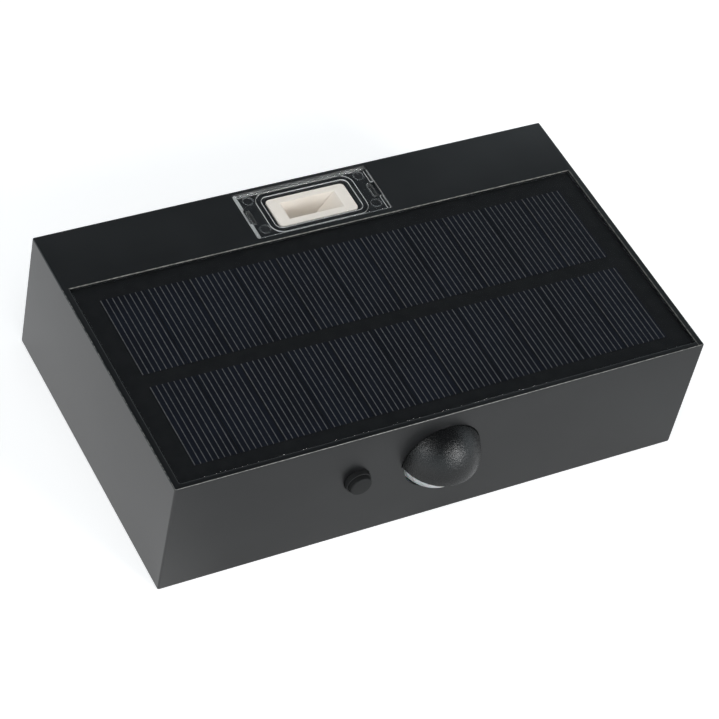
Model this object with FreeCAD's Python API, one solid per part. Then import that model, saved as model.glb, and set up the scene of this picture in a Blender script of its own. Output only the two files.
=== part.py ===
import FreeCAD, Part
import os
from math import asin, cos, radians, sin, sqrt, tan

# Solar fence light with motion sensor, in millimetres.
# X runs along the light, +Y points into the wall or fence, +Z is up.
# The origin is the centre of the flat back that lies against the wall.

V = FreeCAD.Vector

# ---- outer box -------------------------------------------------------------
WIDTH = 180.0
DEPTH = 105.5
HEIGHT = 45.6
WALL = 2.2
EDGE_RADIUS = 0.6
MOUTH_CORNER = 1.2

# ---- solar panel in its recess on the top ----------------------------------
RECESS_SIDE_RIM = 2.2
RECESS_FRONT_RIM = 1.85
RECESS_BACK_EDGE = 23.55
RECESS_DEPTH = 2.5
RECESS_FLOOR = 2.0
RECESS_CORNER = 0.5
PANEL_GAP = 0.3
ADHESIVE_THICKNESS = 0.2
ADHESIVE_WIDTH = 6.0
BOARD_THICKNESS = 1.2
CELL_THICKNESS = 0.2
FILM_THICKNESS = 0.6
CELL_PITCH = 14.69
CELL_GAP = 0.44
CELL_LENGTH = 31.35
CELL_ROW_GAP = 5.2
CELL_BACK_MARGIN = 6.6
CELL_SIDE_MARGIN = 6.0
PANEL_LEAD_HOLE_RADIUS = 2.0
PANEL_LEAD_RUN = 10.0
ROOF_RIB_COUNT = 4
ROOF_RIB_SPACING = 38.0
ROOF_RIB_THICKNESS = 1.2
ROOF_RIB_HEIGHT = 2.0

# ---- window module, used at the top and mirrored at the bottom -------------
WINDOW_WIDTH = 47.4
WINDOW_DEPTH = 19.7
WINDOW_BACK_RIM = 1.65
WINDOW_CORNER = 0.5
WINDOW_GAP = 0.15
WINDOW_SINK = 0.2
POCKET_DEPTH = 1.8
POCKET_FLOOR = 2.0
PLATE_THICKNESS = 0.9
END_WALL = 1.0
SIDE_WALL = 0.5
RING_WIDTH = 34.2
RING_DEPTH = 17.6
RING_RADIUS = 4.0
RING_WALL = 1.65
SNAP_X = 21.4
SNAP_THICKNESS = 1.2
SNAP_WIDTH = 5.6
SNAP_GAP = 0.25
SNAP_HOOK = 0.6
SNAP_HOOK_HEIGHT = 1.0
REFLECTOR_WIDTH = 27.8
REFLECTOR_DEPTH = 12.1
REFLECTOR_CORNER = 1.5
REFLECTOR_FLANGE = 1.2
REFLECTOR_GAP = 0.4
REFLECTOR_WALL = 1.3
FUNNEL_WIDTH = 19.3
FUNNEL_DEPTH = 7.3
FUNNEL_HEIGHT = 9.6
FUNNEL_SLANT = 30.7
LED_BOARD_WIDTH = 44.0
LED_BOARD_DEPTH = 10.6
LED_BOARD_THICKNESS = 1.2
LED_COUNT = 2
LED_PITCH = 3.7
LED_LENGTH = 3.5
LED_WIDTH = 2.8
LED_HEIGHT = 0.7
STAKE_X = 17.4
STAKE_POST = 3.2
STAKE_PIN = 1.6
STAKE_HEAD = 2.8
STAKE_HEAD_HEIGHT = 0.8
STAKE_GAP = 0.1

# ---- motion sensor: hood, lens, retainer and sensor can --------------------
SENSOR_DROP = 19.2
HOOD_SPHERE_RADIUS = 13.4
HOOD_SET_BACK = 2.5
HOOD_WALL = 1.0
HOOD_SLOPE = 0.10
HOOD_FLANGE_LIP = 1.2
HOOD_FLANGE = 0.8
HOOD_FIT = 0.05
HOOD_STEPS = 4
LENS_RADIUS = 11.9
LENS_HEIGHT = 7.6
LENS_DROP = 0.4
LENS_WALL = 0.8
LENS_FIT = 0.1
LENS_FLANGE_LIP = 2.2
LENS_FLANGE = 0.8
LENS_STEPS = 4
LENS_INNER_STEPS = 2
RETAINER_WALL = 1.4
SENSOR_CAN_RADIUS = 4.1
SENSOR_CAN_BRIM_RADIUS = 4.6
SENSOR_CAN_BRIM = 0.5
SENSOR_CAN_HEIGHT = 4.2
SENSOR_WINDOW_WIDTH = 4.0
SENSOR_WINDOW_HEIGHT = 3.0

# ---- push button, its switch and their travel ------------------------------
BUTTON_X = -28.4
BUTTON_COLLAR_RADIUS = 4.1
BUTTON_COLLAR_HEIGHT = 1.5
BUTTON_COLLAR_FLANGE_RADIUS = 5.4
BUTTON_COLLAR_FLANGE = 0.6
BUTTON_CAP_RADIUS = 3.5
BUTTON_CAP_HEIGHT = 3.1
BUTTON_CAP_CHAMFER = 0.4
BUTTON_RUNNING_FIT = 0.06
BUTTON_CAP_FLANGE_RADIUS = 4.6
BUTTON_CAP_FLANGE = 0.8
BUTTON_STEM_RADIUS = 1.7
BUTTON_TRAVEL = 0.5
COLLAR_FIT = 0.03
SWITCH_SIZE = 6.0
SWITCH_HEIGHT = 3.5
PLUNGER_RADIUS = 1.7
PLUNGER_RISE = 1.0
PLUNGER_DEPTH = 2.0
PLUNGER_END_GAP = 0.2

# ---- main circuit board behind the front wall ------------------------------
MAIN_BOARD_WIDTH = 74.0
MAIN_BOARD_HEIGHT = 30.0
MAIN_BOARD_THICKNESS = 1.6
MAIN_BOARD_CENTRE_X = -7.0
MAIN_BOARD_CENTRE_Z = 1.0
MAIN_BOARD_GAP = 7.9
BOARD_SCREW_INSET = 4.0
BOARD_POST = 5.4
BOARD_SCREW_RADIUS = 1.15
BOARD_SCREW_LENGTH = 6.0
CONNECTOR_WIDTH = 6.0
CONNECTOR_HEIGHT = 5.0
CONNECTOR_DEPTH = 6.0
CONNECTOR_COUNT = 4
CONNECTOR_PITCH = 14.5
CONNECTOR_RISE = 8.0
CAPACITOR_RADIUS = 3.1
CAPACITOR_LENGTH = 8.0
INDUCTOR_RADIUS = 4.0
INDUCTOR_LENGTH = 4.5
CHIP_WIDTH = 8.6
CHIP_HEIGHT = 3.9
CHIP_DEPTH = 1.5
COMPONENT_RISE = 5.0
CHIP_SPREAD = 9.2
CAN_SPREAD = 24.7

# ---- battery, cradle, tape and contacts -------------------------------------
CELL_RADIUS = 9.15
CELL_BODY_LENGTH = 65.0
CELL_BUTTON_RADIUS = 2.8
CELL_BUTTON_HEIGHT = 1.0
BATTERY_X = -38.0
BATTERY_Y = -55.0
BATTERY_CLEARANCE = 0.25
CRADLE_BASE = 1.6
CRADLE_SIDE = 2.2
CRADLE_END = 1.6
CRADLE_RISE = 4.0
CRADLE_TAPE = 0.8
CRADLE_PAD_SPACING = 15.0
CRADLE_PAD_WIDTH = 6.0
CONTACT_THICKNESS = 0.3
CONTACT_WIDTH = 8.0

# ---- back cover, gasket, screws and keyholes -------------------------------
COVER_GAP = 0.25
COVER_THICKNESS = 2.8
SKIRT_INSET = 2.0
SKIRT_THICKNESS = 1.6
SKIRT_HEIGHT = 2.2
GASKET_GAP = 0.05
COVER_SCREW_INSET_X = 7.8
COVER_SCREW_INSET_Z = 8.0
COVER_SCREW_RADIUS = 1.5
COVER_SCREW_LENGTH = 9.0
COVER_SCREW_HEAD_RADIUS = 2.8
COVER_SCREW_HEAD_HEIGHT = 1.8
COUNTERBORE_RADIUS = 3.2
COUNTERBORE_DEPTH = 2.4
COVER_PAD = 8.0
COVER_PAD_THICKNESS = 4.4
COVER_POST = 7.4
COVER_POST_LENGTH = 14.0
KEYHOLE_SPACING = 100.0
KEYHOLE_ENTRY_RADIUS = 4.2
KEYHOLE_SLOT_RADIUS = 2.25
KEYHOLE_TRAVEL = 8.0
KEYHOLE_ENTRY_Z = -3.0
KEYHOLE_LIP = 2.0
KEYHOLE_POCKET_DEPTH = 4.6
KEYHOLE_POCKET_WALL = 1.2
COVER_RIB_COUNT = 2
COVER_RIB_SPACING = 14.0
COVER_RIB_THICKNESS = 1.4
COVER_RIB_END_GAP = 4.0

# ---- fasteners and leads ---------------------------------------------------
SCREW_HOLE_GAP = 0.03
SCREW_PASS_GAP = 0.2
SMALL_HEAD_RADIUS = 2.2
SMALL_HEAD_HEIGHT = 1.4
BATTERY_LEADS, PANEL_LEADS, UPPER_LED_LEADS, LOWER_LED_LEADS = range(CONNECTOR_COUNT)
LEAD_WIDTH = 2.6
LEAD_THICKNESS = 1.3
LEAD_BEND = 3.0
LEAD_EXIT = 4.5

# ---- places worked out from the sizes above --------------------------------
HALF_X = WIDTH / 2
TOP_Z = HEIGHT / 2
FRONT_Y = -DEPTH
FRONT_INNER_Y = FRONT_Y + WALL
INNER_X = HALF_X - WALL
INNER_Z = TOP_Z - WALL

RECESS_FRONT_Y = FRONT_Y + RECESS_FRONT_RIM
RECESS_BACK_Y = -RECESS_BACK_EDGE
RECESS_Z = TOP_Z - RECESS_DEPTH
ROOF_Z = RECESS_Z - RECESS_FLOOR
ROOF_STEP_Y = RECESS_BACK_Y + WALL
PANEL_WIDTH = WIDTH - 2 * (RECESS_SIDE_RIM + PANEL_GAP)
PANEL_DEPTH = RECESS_BACK_Y - RECESS_FRONT_Y - 2 * PANEL_GAP
PANEL_Y = (RECESS_BACK_Y + RECESS_FRONT_Y) / 2
CELL_COLUMNS = int((PANEL_WIDTH - 2 * CELL_SIDE_MARGIN + CELL_GAP) // CELL_PITCH)
CELL_ROWS = int((PANEL_DEPTH - CELL_BACK_MARGIN + CELL_ROW_GAP) // (CELL_LENGTH + CELL_ROW_GAP))
BOARD_Z = RECESS_Z + ADHESIVE_THICKNESS
CELLS_Z = BOARD_Z + BOARD_THICKNESS
FILM_TOP_Z = CELLS_Z + CELL_THICKNESS + FILM_THICKNESS

WINDOW_Y = -(WINDOW_BACK_RIM + WINDOW_DEPTH / 2)
POCKET_Z = TOP_Z - POCKET_DEPTH
POCKET_INNER_Z = POCKET_Z - POCKET_FLOOR
POCKET_PAD_X = WINDOW_WIDTH / 2 + WALL
PLATE_TOP_Z = TOP_Z - WINDOW_SINK
PLATE_Z = PLATE_TOP_Z - PLATE_THICKNESS
PLATE_WIDTH = WINDOW_WIDTH - 2 * WINDOW_GAP
PLATE_DEPTH = WINDOW_DEPTH - 2 * WINDOW_GAP
FLANGE_Z = POCKET_Z - REFLECTOR_FLANGE
LED_BOARD_Z = POCKET_Z - FUNNEL_HEIGHT

SENSOR_Z = TOP_Z - SENSOR_DROP
LENS_Z = SENSOR_Z - LENS_DROP
HOOD_CENTRE_Y = FRONT_Y + HOOD_SET_BACK
HOOD_BASE_RADIUS = sqrt(HOOD_SPHERE_RADIUS ** 2 - HOOD_SET_BACK ** 2)
HOOD_BORE_RADIUS = sqrt((HOOD_SPHERE_RADIUS - HOOD_WALL) ** 2 - HOOD_SET_BACK ** 2)
HOOD_FLANGE_SIDE = 2 * (HOOD_BASE_RADIUS + HOOD_FLANGE_LIP)
LENS_FLANGE_SIDE = 2 * (LENS_RADIUS + LENS_FLANGE_LIP)
HOOD_FLANGE_Y = FRONT_INNER_Y + HOOD_FLANGE
LENS_FLANGE_Y = HOOD_FLANGE_Y + LENS_FLANGE
MAIN_BOARD_Y = FRONT_INNER_Y + MAIN_BOARD_GAP
MAIN_BOARD_BACK_Y = MAIN_BOARD_Y + MAIN_BOARD_THICKNESS
CONNECTOR_Y = MAIN_BOARD_BACK_Y + CONNECTOR_DEPTH
CONNECTOR_Z = MAIN_BOARD_CENTRE_Z - MAIN_BOARD_HEIGHT / 2 + CONNECTOR_RISE

COLLAR_FLANGE_Y = FRONT_INNER_Y + BUTTON_COLLAR_FLANGE
CAP_FLANGE_Y = COLLAR_FLANGE_Y + BUTTON_CAP_FLANGE
SWITCH_Y = MAIN_BOARD_Y - SWITCH_HEIGHT
PLUNGER_Y = SWITCH_Y - PLUNGER_RISE

CRADLE_Z = CRADLE_TAPE - POCKET_INNER_Z
BATTERY_Z = CRADLE_Z + CRADLE_BASE + BATTERY_CLEARANCE + CELL_RADIUS
CRADLE_TOP_Z = BATTERY_Z + CRADLE_RISE
CRADLE_HALF_Y = CELL_RADIUS + BATTERY_CLEARANCE + CRADLE_SIDE
CRADLE_CAVITY_X = CELL_BODY_LENGTH / 2 + CELL_BUTTON_HEIGHT + BATTERY_CLEARANCE + CONTACT_THICKNESS
CRADLE_HALF_X = CRADLE_CAVITY_X + CRADLE_END

COVER_SCREW_X = INNER_X - COVER_SCREW_INSET_X
COVER_SCREW_Z = INNER_Z - COVER_SCREW_INSET_Z
SKIRT_Y = -(COVER_THICKNESS + SKIRT_HEIGHT)
KEYHOLE_POCKET_Y = -(KEYHOLE_LIP + KEYHOLE_POCKET_DEPTH)


# ---- shapes used by many pieces --------------------------------------------
def block(x0, x1, y0, y1, z0, z1):
    """A box between two opposite corners."""
    return Part.makeBox(x1 - x0, y1 - y0, z1 - z0, V(x0, y0, z0))


def rod_x(y, z, radius, x0, x1):
    return Part.makeCylinder(radius, x1 - x0, V(x0, y, z), V(1, 0, 0))


def rod_y(x, z, radius, y0, y1):
    return Part.makeCylinder(radius, y1 - y0, V(x, y0, z), V(0, 1, 0))


def rod_z(x, y, radius, z0, z1):
    return Part.makeCylinder(radius, z1 - z0, V(x, y, z0), V(0, 0, 1))


def post_y(x, z, side, y0, y1):
    """A square post along Y."""
    return block(x - side / 2, x + side / 2, y0, y1, z - side / 2, z + side / 2)


def post_z(x, y, side, z0, z1):
    """A square post along Z."""
    return block(x - side / 2, x + side / 2, y - side / 2, y + side / 2, z0, z1)


def rounded_wire(points, radius, closed=True, sharp=()):
    """Straight runs through the points, joined by tangent arcs of one radius except at the sharp corners."""
    count = len(points)
    ends = []
    for i, corner in enumerate(points):
        if i in sharp or (not closed and i in (0, count - 1)):
            ends.append((corner, None, corner))
            continue
        before = (corner - points[i - 1]).normalize()
        after = (points[(i + 1) % count] - corner).normalize()
        half_turn = before.getAngle(after) / 2
        setback = radius * tan(half_turn)
        inward = (after - before).normalize()
        middle = corner + inward * (radius / cos(half_turn) - radius)
        ends.append((corner - before * setback, middle, corner + after * setback))
    edges = []
    for i, (start, middle, end) in enumerate(ends):
        if middle is not None:
            edges.append(Part.Arc(start, middle, end).toShape())
        if closed or i < count - 1:
            edges.append(Part.LineSegment(end, ends[(i + 1) % count][0]).toShape())
    return Part.Wire(edges)


def rounded_plate(width, depth, corner, y_centre, z0, z1):
    """A rounded rectangle centred on x = 0, extruded from z0 up to z1."""
    x, y = width / 2, depth / 2
    outline = [V(-x, y_centre - y, z0), V(x, y_centre - y, z0),
               V(x, y_centre + y, z0), V(-x, y_centre + y, z0)]
    return Part.Face(rounded_wire(outline, corner)).extrude(V(0, 0, z1 - z0))


def taper(width0, z0, width1, z1, depth, y_centre):
    """A straight-sided block whose width along X changes from z0 to z1."""
    y = y_centre - depth / 2
    corners = [V(-width0 / 2, y, z0), V(width0 / 2, y, z0), V(width1 / 2, y, z1), V(-width1 / 2, y, z1)]
    return Part.Face(Part.makePolygon(corners + corners[:1])).extrude(V(0, depth, 0))


def turned(profile, x, z):
    """A closed profile of (radius, y) points, revolved about the line along Y through x and z."""
    corners = [V(radius, y, 0) for radius, y in profile]
    solid = Part.Face(Part.makePolygon(corners + corners[:1])).revolve(V(0, 0, 0), V(0, 1, 0), 360)
    solid.translate(V(x, 0, z))
    return solid


def dome(radius, centre_y, rim_radius, steps):
    """Half section of a ball cap that bulges to -Y, as flats that touch its circle, from tip to rim."""
    end = asin(rim_radius / radius)
    step = end / steps
    corner = radius / cos(step / 2)
    angles = [(i + 0.5) * step for i in range(steps)]
    points = [(corner * sin(angle), centre_y - corner * cos(angle)) for angle in angles]
    return [(0, centre_y - radius)] + points + [(rim_radius, centre_y - radius * cos(end))]


def fused(shapes):
    """One solid from pieces that touch or overlap."""
    return shapes[0].multiFuse(shapes[1:]).removeSplitter()


def mirrored_down(shape):
    """The same piece at the bottom of the light."""
    return shape.mirror(V(0, 0, 0), V(0, 0, 1))


def screw(radius, length, origin, direction, head_radius=SMALL_HEAD_RADIUS, head_height=SMALL_HEAD_HEIGHT):
    """A pan-head screw without its thread; direction points from the head along the shank."""
    head = Part.makeCylinder(head_radius, head_height, origin - direction * head_height, direction)
    return fused([head, Part.makeCylinder(radius, length, origin, direction)])


def lead(x, points):
    """A flat two-core lead in the plane at x, along (y, z) points joined by equal bends."""
    corners = [V(x, y, z) for y, z in points]
    path = rounded_wire(corners, LEAD_BEND, closed=False)
    along = (corners[1] - corners[0]).normalize()
    half_width, half_thickness = V(LEAD_WIDTH / 2, 0, 0), along.cross(V(1, 0, 0)) * (LEAD_THICKNESS / 2)
    section = [corners[0] + half_width * i + half_thickness * j
               for i, j in ((-1, -1), (1, -1), (1, 1), (-1, 1))]
    return path.makePipeShell([Part.makePolygon(section + section[:1])], True, False)


# ---- housing ----------------------------------------------------------------
def cover_screw_places():
    """The four cover screws' places, as x and z."""
    return [(sx * COVER_SCREW_X, sz * COVER_SCREW_Z) for sx in (-1, 1) for sz in (-1, 1)]


def panel_lead_hole(z0, z1):
    """The panel leads' way down, straight above the run to their connector."""
    return rod_z(connector_x(PANEL_LEADS), CONNECTOR_Y + PANEL_LEAD_RUN, PANEL_LEAD_HOLE_RADIUS, z0, z1)


def mouth_outline(inset, top, y):
    """The cavity's cross-section at y: a rectangle, stepped in where a window pocket's floor runs."""
    x, z = INNER_X - inset, INNER_Z - inset
    pad_x, pad_z = POCKET_PAD_X + inset, POCKET_INNER_Z - inset
    lower = [V(-x, y, -z), V(-pad_x, y, -z), V(-pad_x, y, -pad_z),
             V(pad_x, y, -pad_z), V(pad_x, y, -z), V(x, y, -z)]
    if top is not None:
        return lower + [V(x, y, top), V(-x, y, top)]
    return lower + [V(x, y, z), V(pad_x, y, z), V(pad_x, y, pad_z),
                    V(-pad_x, y, pad_z), V(-pad_x, y, z), V(-x, y, z)]


def mouth_prism(inset, y0, y1, top=None):
    """The cavity's cross-section, less an inset all round, from y0 to y1, with rounded outer corners."""
    points = mouth_outline(inset, top, y0)
    inner = [i for i, point in enumerate(points) if abs(point.x) <= POCKET_PAD_X + inset]
    return Part.Face(rounded_wire(points, MOUTH_CORNER, sharp=inner)).extrude(V(0, y1 - y0, 0))


def window_pocket():
    """What a window module takes out of the wall: pocket, stepped opening and snap slots."""
    cuts = [rounded_plate(WINDOW_WIDTH, WINDOW_DEPTH, WINDOW_CORNER, WINDOW_Y, POCKET_Z, TOP_Z)]
    cuts.append(rounded_plate(REFLECTOR_WIDTH + 2 * REFLECTOR_GAP, REFLECTOR_DEPTH + 2 * REFLECTOR_GAP,
                              REFLECTOR_CORNER, WINDOW_Y, FLANGE_Z, POCKET_Z))
    half_x = FUNNEL_WIDTH / 2 + REFLECTOR_WALL + REFLECTOR_GAP
    half_y = FUNNEL_DEPTH / 2 + REFLECTOR_WALL + REFLECTOR_GAP
    cuts.append(block(-half_x, half_x, WINDOW_Y - half_y, WINDOW_Y + half_y, POCKET_INNER_Z, FLANGE_Z))
    half_slot = SNAP_WIDTH / 2 + SNAP_GAP
    for side in (-1, 1):
        inner_x = SNAP_X - SNAP_THICKNESS / 2 - SNAP_GAP
        outer_x = SNAP_X + SNAP_THICKNESS / 2 + SNAP_HOOK
        x0, x1 = sorted((side * inner_x, side * outer_x))
        cuts.append(block(x0, x1, WINDOW_Y - half_slot, WINDOW_Y + half_slot, POCKET_INNER_Z, POCKET_Z))
    return cuts


def led_board_stakes():
    """Two posts that hang from a pocket's floor, each with a pin melted over under the LED board."""
    stakes = []
    pin_end_z = LED_BOARD_Z - LED_BOARD_THICKNESS
    for side in (-1, 1):
        x = side * STAKE_X
        stakes.append(post_z(x, WINDOW_Y, STAKE_POST, LED_BOARD_Z, POCKET_INNER_Z))
        stakes.append(post_z(x, WINDOW_Y, STAKE_PIN, pin_end_z, LED_BOARD_Z))
        stakes.append(post_z(x, WINDOW_Y, STAKE_HEAD, pin_end_z - STAKE_HEAD_HEIGHT, pin_end_z))
    return stakes


def board_places(screwed):
    """Where two opposite corners of the main board are screwed, or the other two are propped, as x and z."""
    dx = MAIN_BOARD_WIDTH / 2 - BOARD_SCREW_INSET
    dz = MAIN_BOARD_HEIGHT / 2 - BOARD_SCREW_INSET
    turn = -1 if screwed else 1
    return [(MAIN_BOARD_CENTRE_X + side * dx, MAIN_BOARD_CENTRE_Z + side * turn * dz) for side in (-1, 1)]


def front_wall_posts():
    """Four posts for the main board on the inside of the front wall, two of them with a screw's hole."""
    places = board_places(True)
    posts = [post_y(x, z, BOARD_POST, FRONT_INNER_Y, MAIN_BOARD_Y) for x, z in places + board_places(False)]
    depth = BOARD_SCREW_LENGTH - MAIN_BOARD_THICKNESS + SCREW_PASS_GAP
    holes = [rod_y(x, z, BOARD_SCREW_RADIUS + SCREW_HOLE_GAP, MAIN_BOARD_Y - depth, MAIN_BOARD_Y)
             for x, z in places]
    return posts, holes


def cover_posts():
    """Four corner posts for the cover screws, grown out of the side walls and cut away round the seal."""
    end_y = -COVER_PAD_THICKNESS
    seal_end_y = SKIRT_Y - COVER_GAP
    posts, holes = [], []
    for x, z in cover_screw_places():
        posts.append(post_y(x, z, COVER_POST, end_y - COVER_POST_LENGTH, end_y))
        x0, x1 = sorted((x, x / abs(x) * (INNER_X + WALL / 2)))
        posts.append(block(x0, x1, end_y - COVER_POST_LENGTH, seal_end_y,
                           z - COVER_POST / 2, z + COVER_POST / 2))
        holes.append(rod_y(x, z, COVER_SCREW_RADIUS + SCREW_HOLE_GAP,
                           end_y - COVER_SCREW_LENGTH, end_y))
    return posts, holes


def roof_ribs():
    """Stiffening ribs under the thin floor of the panel recess."""
    ribs = []
    start = -(ROOF_RIB_COUNT - 1) / 2 * ROOF_RIB_SPACING
    for i in range(ROOF_RIB_COUNT):
        x = start + i * ROOF_RIB_SPACING
        ribs.append(block(x - ROOF_RIB_THICKNESS / 2, x + ROOF_RIB_THICKNESS / 2,
                          FRONT_INNER_Y, ROOF_STEP_Y, ROOF_Z - ROOF_RIB_HEIGHT, ROOF_Z))
    return ribs


def cradle_strips(x0, x1, z0, z1):
    """Two long strips under the battery cradle."""
    strips = []
    for side in (-1, 1):
        y = BATTERY_Y + side * CRADLE_PAD_SPACING / 2
        strips.append(block(x0, x1, y - CRADLE_PAD_WIDTH / 2, y + CRADLE_PAD_WIDTH / 2, z0, z1))
    return strips


def cradle_pads():
    """Raised strips that carry the cradle's outer part level with the lower pocket's floor."""
    return cradle_strips(BATTERY_X - CRADLE_HALF_X, -POCKET_PAD_X, -INNER_Z, -POCKET_INNER_Z)


def front_wall_holes():
    """The keyed hole of hood and lens, wider over its upper half, and the button's hole."""
    lower = rod_y(0, LENS_Z, LENS_RADIUS + LENS_FIT, FRONT_Y, FRONT_INNER_Y)
    radius = HOOD_BASE_RADIUS + HOOD_FIT
    upper = rod_y(0, SENSOR_Z, radius, FRONT_Y, FRONT_INNER_Y)
    upper = upper.common(block(-radius, radius, FRONT_Y, FRONT_INNER_Y,
                               SENSOR_Z - HOOD_FIT, SENSOR_Z + radius))
    button = rod_y(BUTTON_X, SENSOR_Z, BUTTON_COLLAR_RADIUS + COLLAR_FIT, FRONT_Y, FRONT_INNER_Y)
    return [lower.fuse(upper), button]


def make_housing():
    """The one-piece box: open at the back, with panel recess, two window pockets, posts and ribs."""
    body = block(-HALF_X, HALF_X, FRONT_Y, 0, -TOP_Z, TOP_Z)
    body = body.makeFillet(EDGE_RADIUS, body.Edges)
    body = body.cut(mouth_prism(0, FRONT_INNER_Y, ROOF_STEP_Y, top=ROOF_Z))
    body = body.cut(mouth_prism(0, ROOF_STEP_Y, 0))
    recess_width = WIDTH - 2 * RECESS_SIDE_RIM
    recess_depth = RECESS_BACK_Y - RECESS_FRONT_Y
    cuts = [rounded_plate(recess_width, recess_depth, RECESS_CORNER, PANEL_Y, RECESS_Z, TOP_Z)]
    cuts.append(panel_lead_hole(ROOF_Z, RECESS_Z))
    pocket = window_pocket()
    cuts += pocket + [mirrored_down(cut) for cut in pocket]
    cuts += front_wall_holes()
    body = body.cut(cuts)
    added, holes = led_board_stakes(), []
    added += [mirrored_down(stake) for stake in added]
    for posts, drilled in (front_wall_posts(), cover_posts()):
        added += posts
        holes += drilled
    body = fused([body] + added + roof_ribs() + cradle_pads())
    return body.cut(holes)


# ---- back cover and its seal -------------------------------------------------
def keyhole(x, radius_gap, y0, y1):
    """A keyhole outline as a solid: round entry below, narrow slot upwards, both widened by the gap."""
    entry = rod_y(x, KEYHOLE_ENTRY_Z, KEYHOLE_ENTRY_RADIUS + radius_gap, y0, y1)
    half = KEYHOLE_SLOT_RADIUS + radius_gap
    seat_z = KEYHOLE_ENTRY_Z + KEYHOLE_TRAVEL
    slot = block(x - half, x + half, y0, y1, KEYHOLE_ENTRY_Z, seat_z)
    return fused([entry, slot, rod_y(x, seat_z, half, y0, y1)])


def keyhole_pocket(x, wall, y0, y1):
    """The closed pocket behind a keyhole in which the hanging screw's head slides."""
    half = KEYHOLE_ENTRY_RADIUS + wall
    top = KEYHOLE_ENTRY_Z + KEYHOLE_TRAVEL
    return block(x - half, x + half, y0, y1, KEYHOLE_ENTRY_Z - half, top + half)


def make_back_cover():
    """Inset plate with a sealing skirt, screw pads, ribs and two keyhole pockets."""
    plate = mouth_prism(COVER_GAP, -COVER_THICKNESS, 0)
    skirt = mouth_prism(SKIRT_INSET, SKIRT_Y, -COVER_THICKNESS)
    skirt = skirt.cut(mouth_prism(SKIRT_INSET + SKIRT_THICKNESS, SKIRT_Y, -COVER_THICKNESS))
    added = [plate, skirt]
    cuts = []
    for x, z in cover_screw_places():
        added.append(post_y(x, z, COVER_PAD, -COVER_PAD_THICKNESS, -COVER_THICKNESS))
        cuts.append(rod_y(x, z, COUNTERBORE_RADIUS, -COUNTERBORE_DEPTH, 0))
        cuts.append(rod_y(x, z, COVER_SCREW_RADIUS + SCREW_PASS_GAP, -COVER_PAD_THICKNESS, 0))
    floor_y = KEYHOLE_POCKET_Y - KEYHOLE_POCKET_WALL
    for side in (-1, 1):
        x = side * KEYHOLE_SPACING / 2
        added.append(keyhole_pocket(x, KEYHOLE_POCKET_WALL, floor_y, -COVER_THICKNESS))
        cuts.append(keyhole_pocket(x, 0, KEYHOLE_POCKET_Y, -KEYHOLE_LIP))
        cuts.append(keyhole(x, 0, -KEYHOLE_LIP, 0))
    rib_x = KEYHOLE_SPACING / 2 - KEYHOLE_ENTRY_RADIUS - KEYHOLE_POCKET_WALL - COVER_RIB_END_GAP
    for i in range(COVER_RIB_COUNT):
        z = (i - (COVER_RIB_COUNT - 1) / 2) * COVER_RIB_SPACING
        added.append(block(-rib_x, rib_x, SKIRT_Y, -COVER_THICKNESS,
                           z - COVER_RIB_THICKNESS / 2, z + COVER_RIB_THICKNESS / 2))
    return fused(added).cut(cuts)


def make_back_gasket():
    """Rubber ring round the cover's skirt, pressed against the wall of the housing's mouth."""
    outer = mouth_prism(GASKET_GAP, SKIRT_Y, -COVER_THICKNESS)
    return outer.cut(mouth_prism(SKIRT_INSET, SKIRT_Y, -COVER_THICKNESS))


def make_cover_screws():
    screws = [screw(COVER_SCREW_RADIUS, COVER_SCREW_LENGTH, V(x, -COUNTERBORE_DEPTH, z), V(0, -1, 0),
                    COVER_SCREW_HEAD_RADIUS, COVER_SCREW_HEAD_HEIGHT)
              for x, z in cover_screw_places()]
    return Part.makeCompound(screws)


# ---- solar panel --------------------------------------------------------------
def cell_boxes():
    """The strip cells, two rows of them, on the panel's board."""
    boxes = []
    back_y = RECESS_BACK_Y - CELL_BACK_MARGIN
    for row in range(CELL_ROWS):
        y1 = back_y - row * (CELL_LENGTH + CELL_ROW_GAP)
        for column in range(CELL_COLUMNS):
            x = (column - (CELL_COLUMNS - 1) / 2) * CELL_PITCH
            half = (CELL_PITCH - CELL_GAP) / 2
            boxes.append(block(x - half, x + half, y1 - CELL_LENGTH, y1,
                               CELLS_Z, CELLS_Z + CELL_THICKNESS))
    return boxes


def panel_plate(z0, z1, inset=0.0):
    return block(-PANEL_WIDTH / 2 + inset, PANEL_WIDTH / 2 - inset,
                 PANEL_Y - PANEL_DEPTH / 2 + inset, PANEL_Y + PANEL_DEPTH / 2 - inset, z0, z1)


def make_panel_adhesive():
    """A flat frame of sticky foam between the panel and the recess floor."""
    frame = panel_plate(RECESS_Z, BOARD_Z)
    return frame.cut(panel_plate(RECESS_Z, BOARD_Z, ADHESIVE_WIDTH))


def make_panel_board():
    """The panel's base board, with a blind hole where the leads are soldered."""
    return panel_plate(BOARD_Z, CELLS_Z).cut(panel_lead_hole(BOARD_Z, BOARD_Z + BOARD_THICKNESS / 2))


def make_panel_film():
    """Clear resin poured over the cells, so it also fills the gaps between them."""
    return panel_plate(CELLS_Z, FILM_TOP_Z).cut(cell_boxes())


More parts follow.
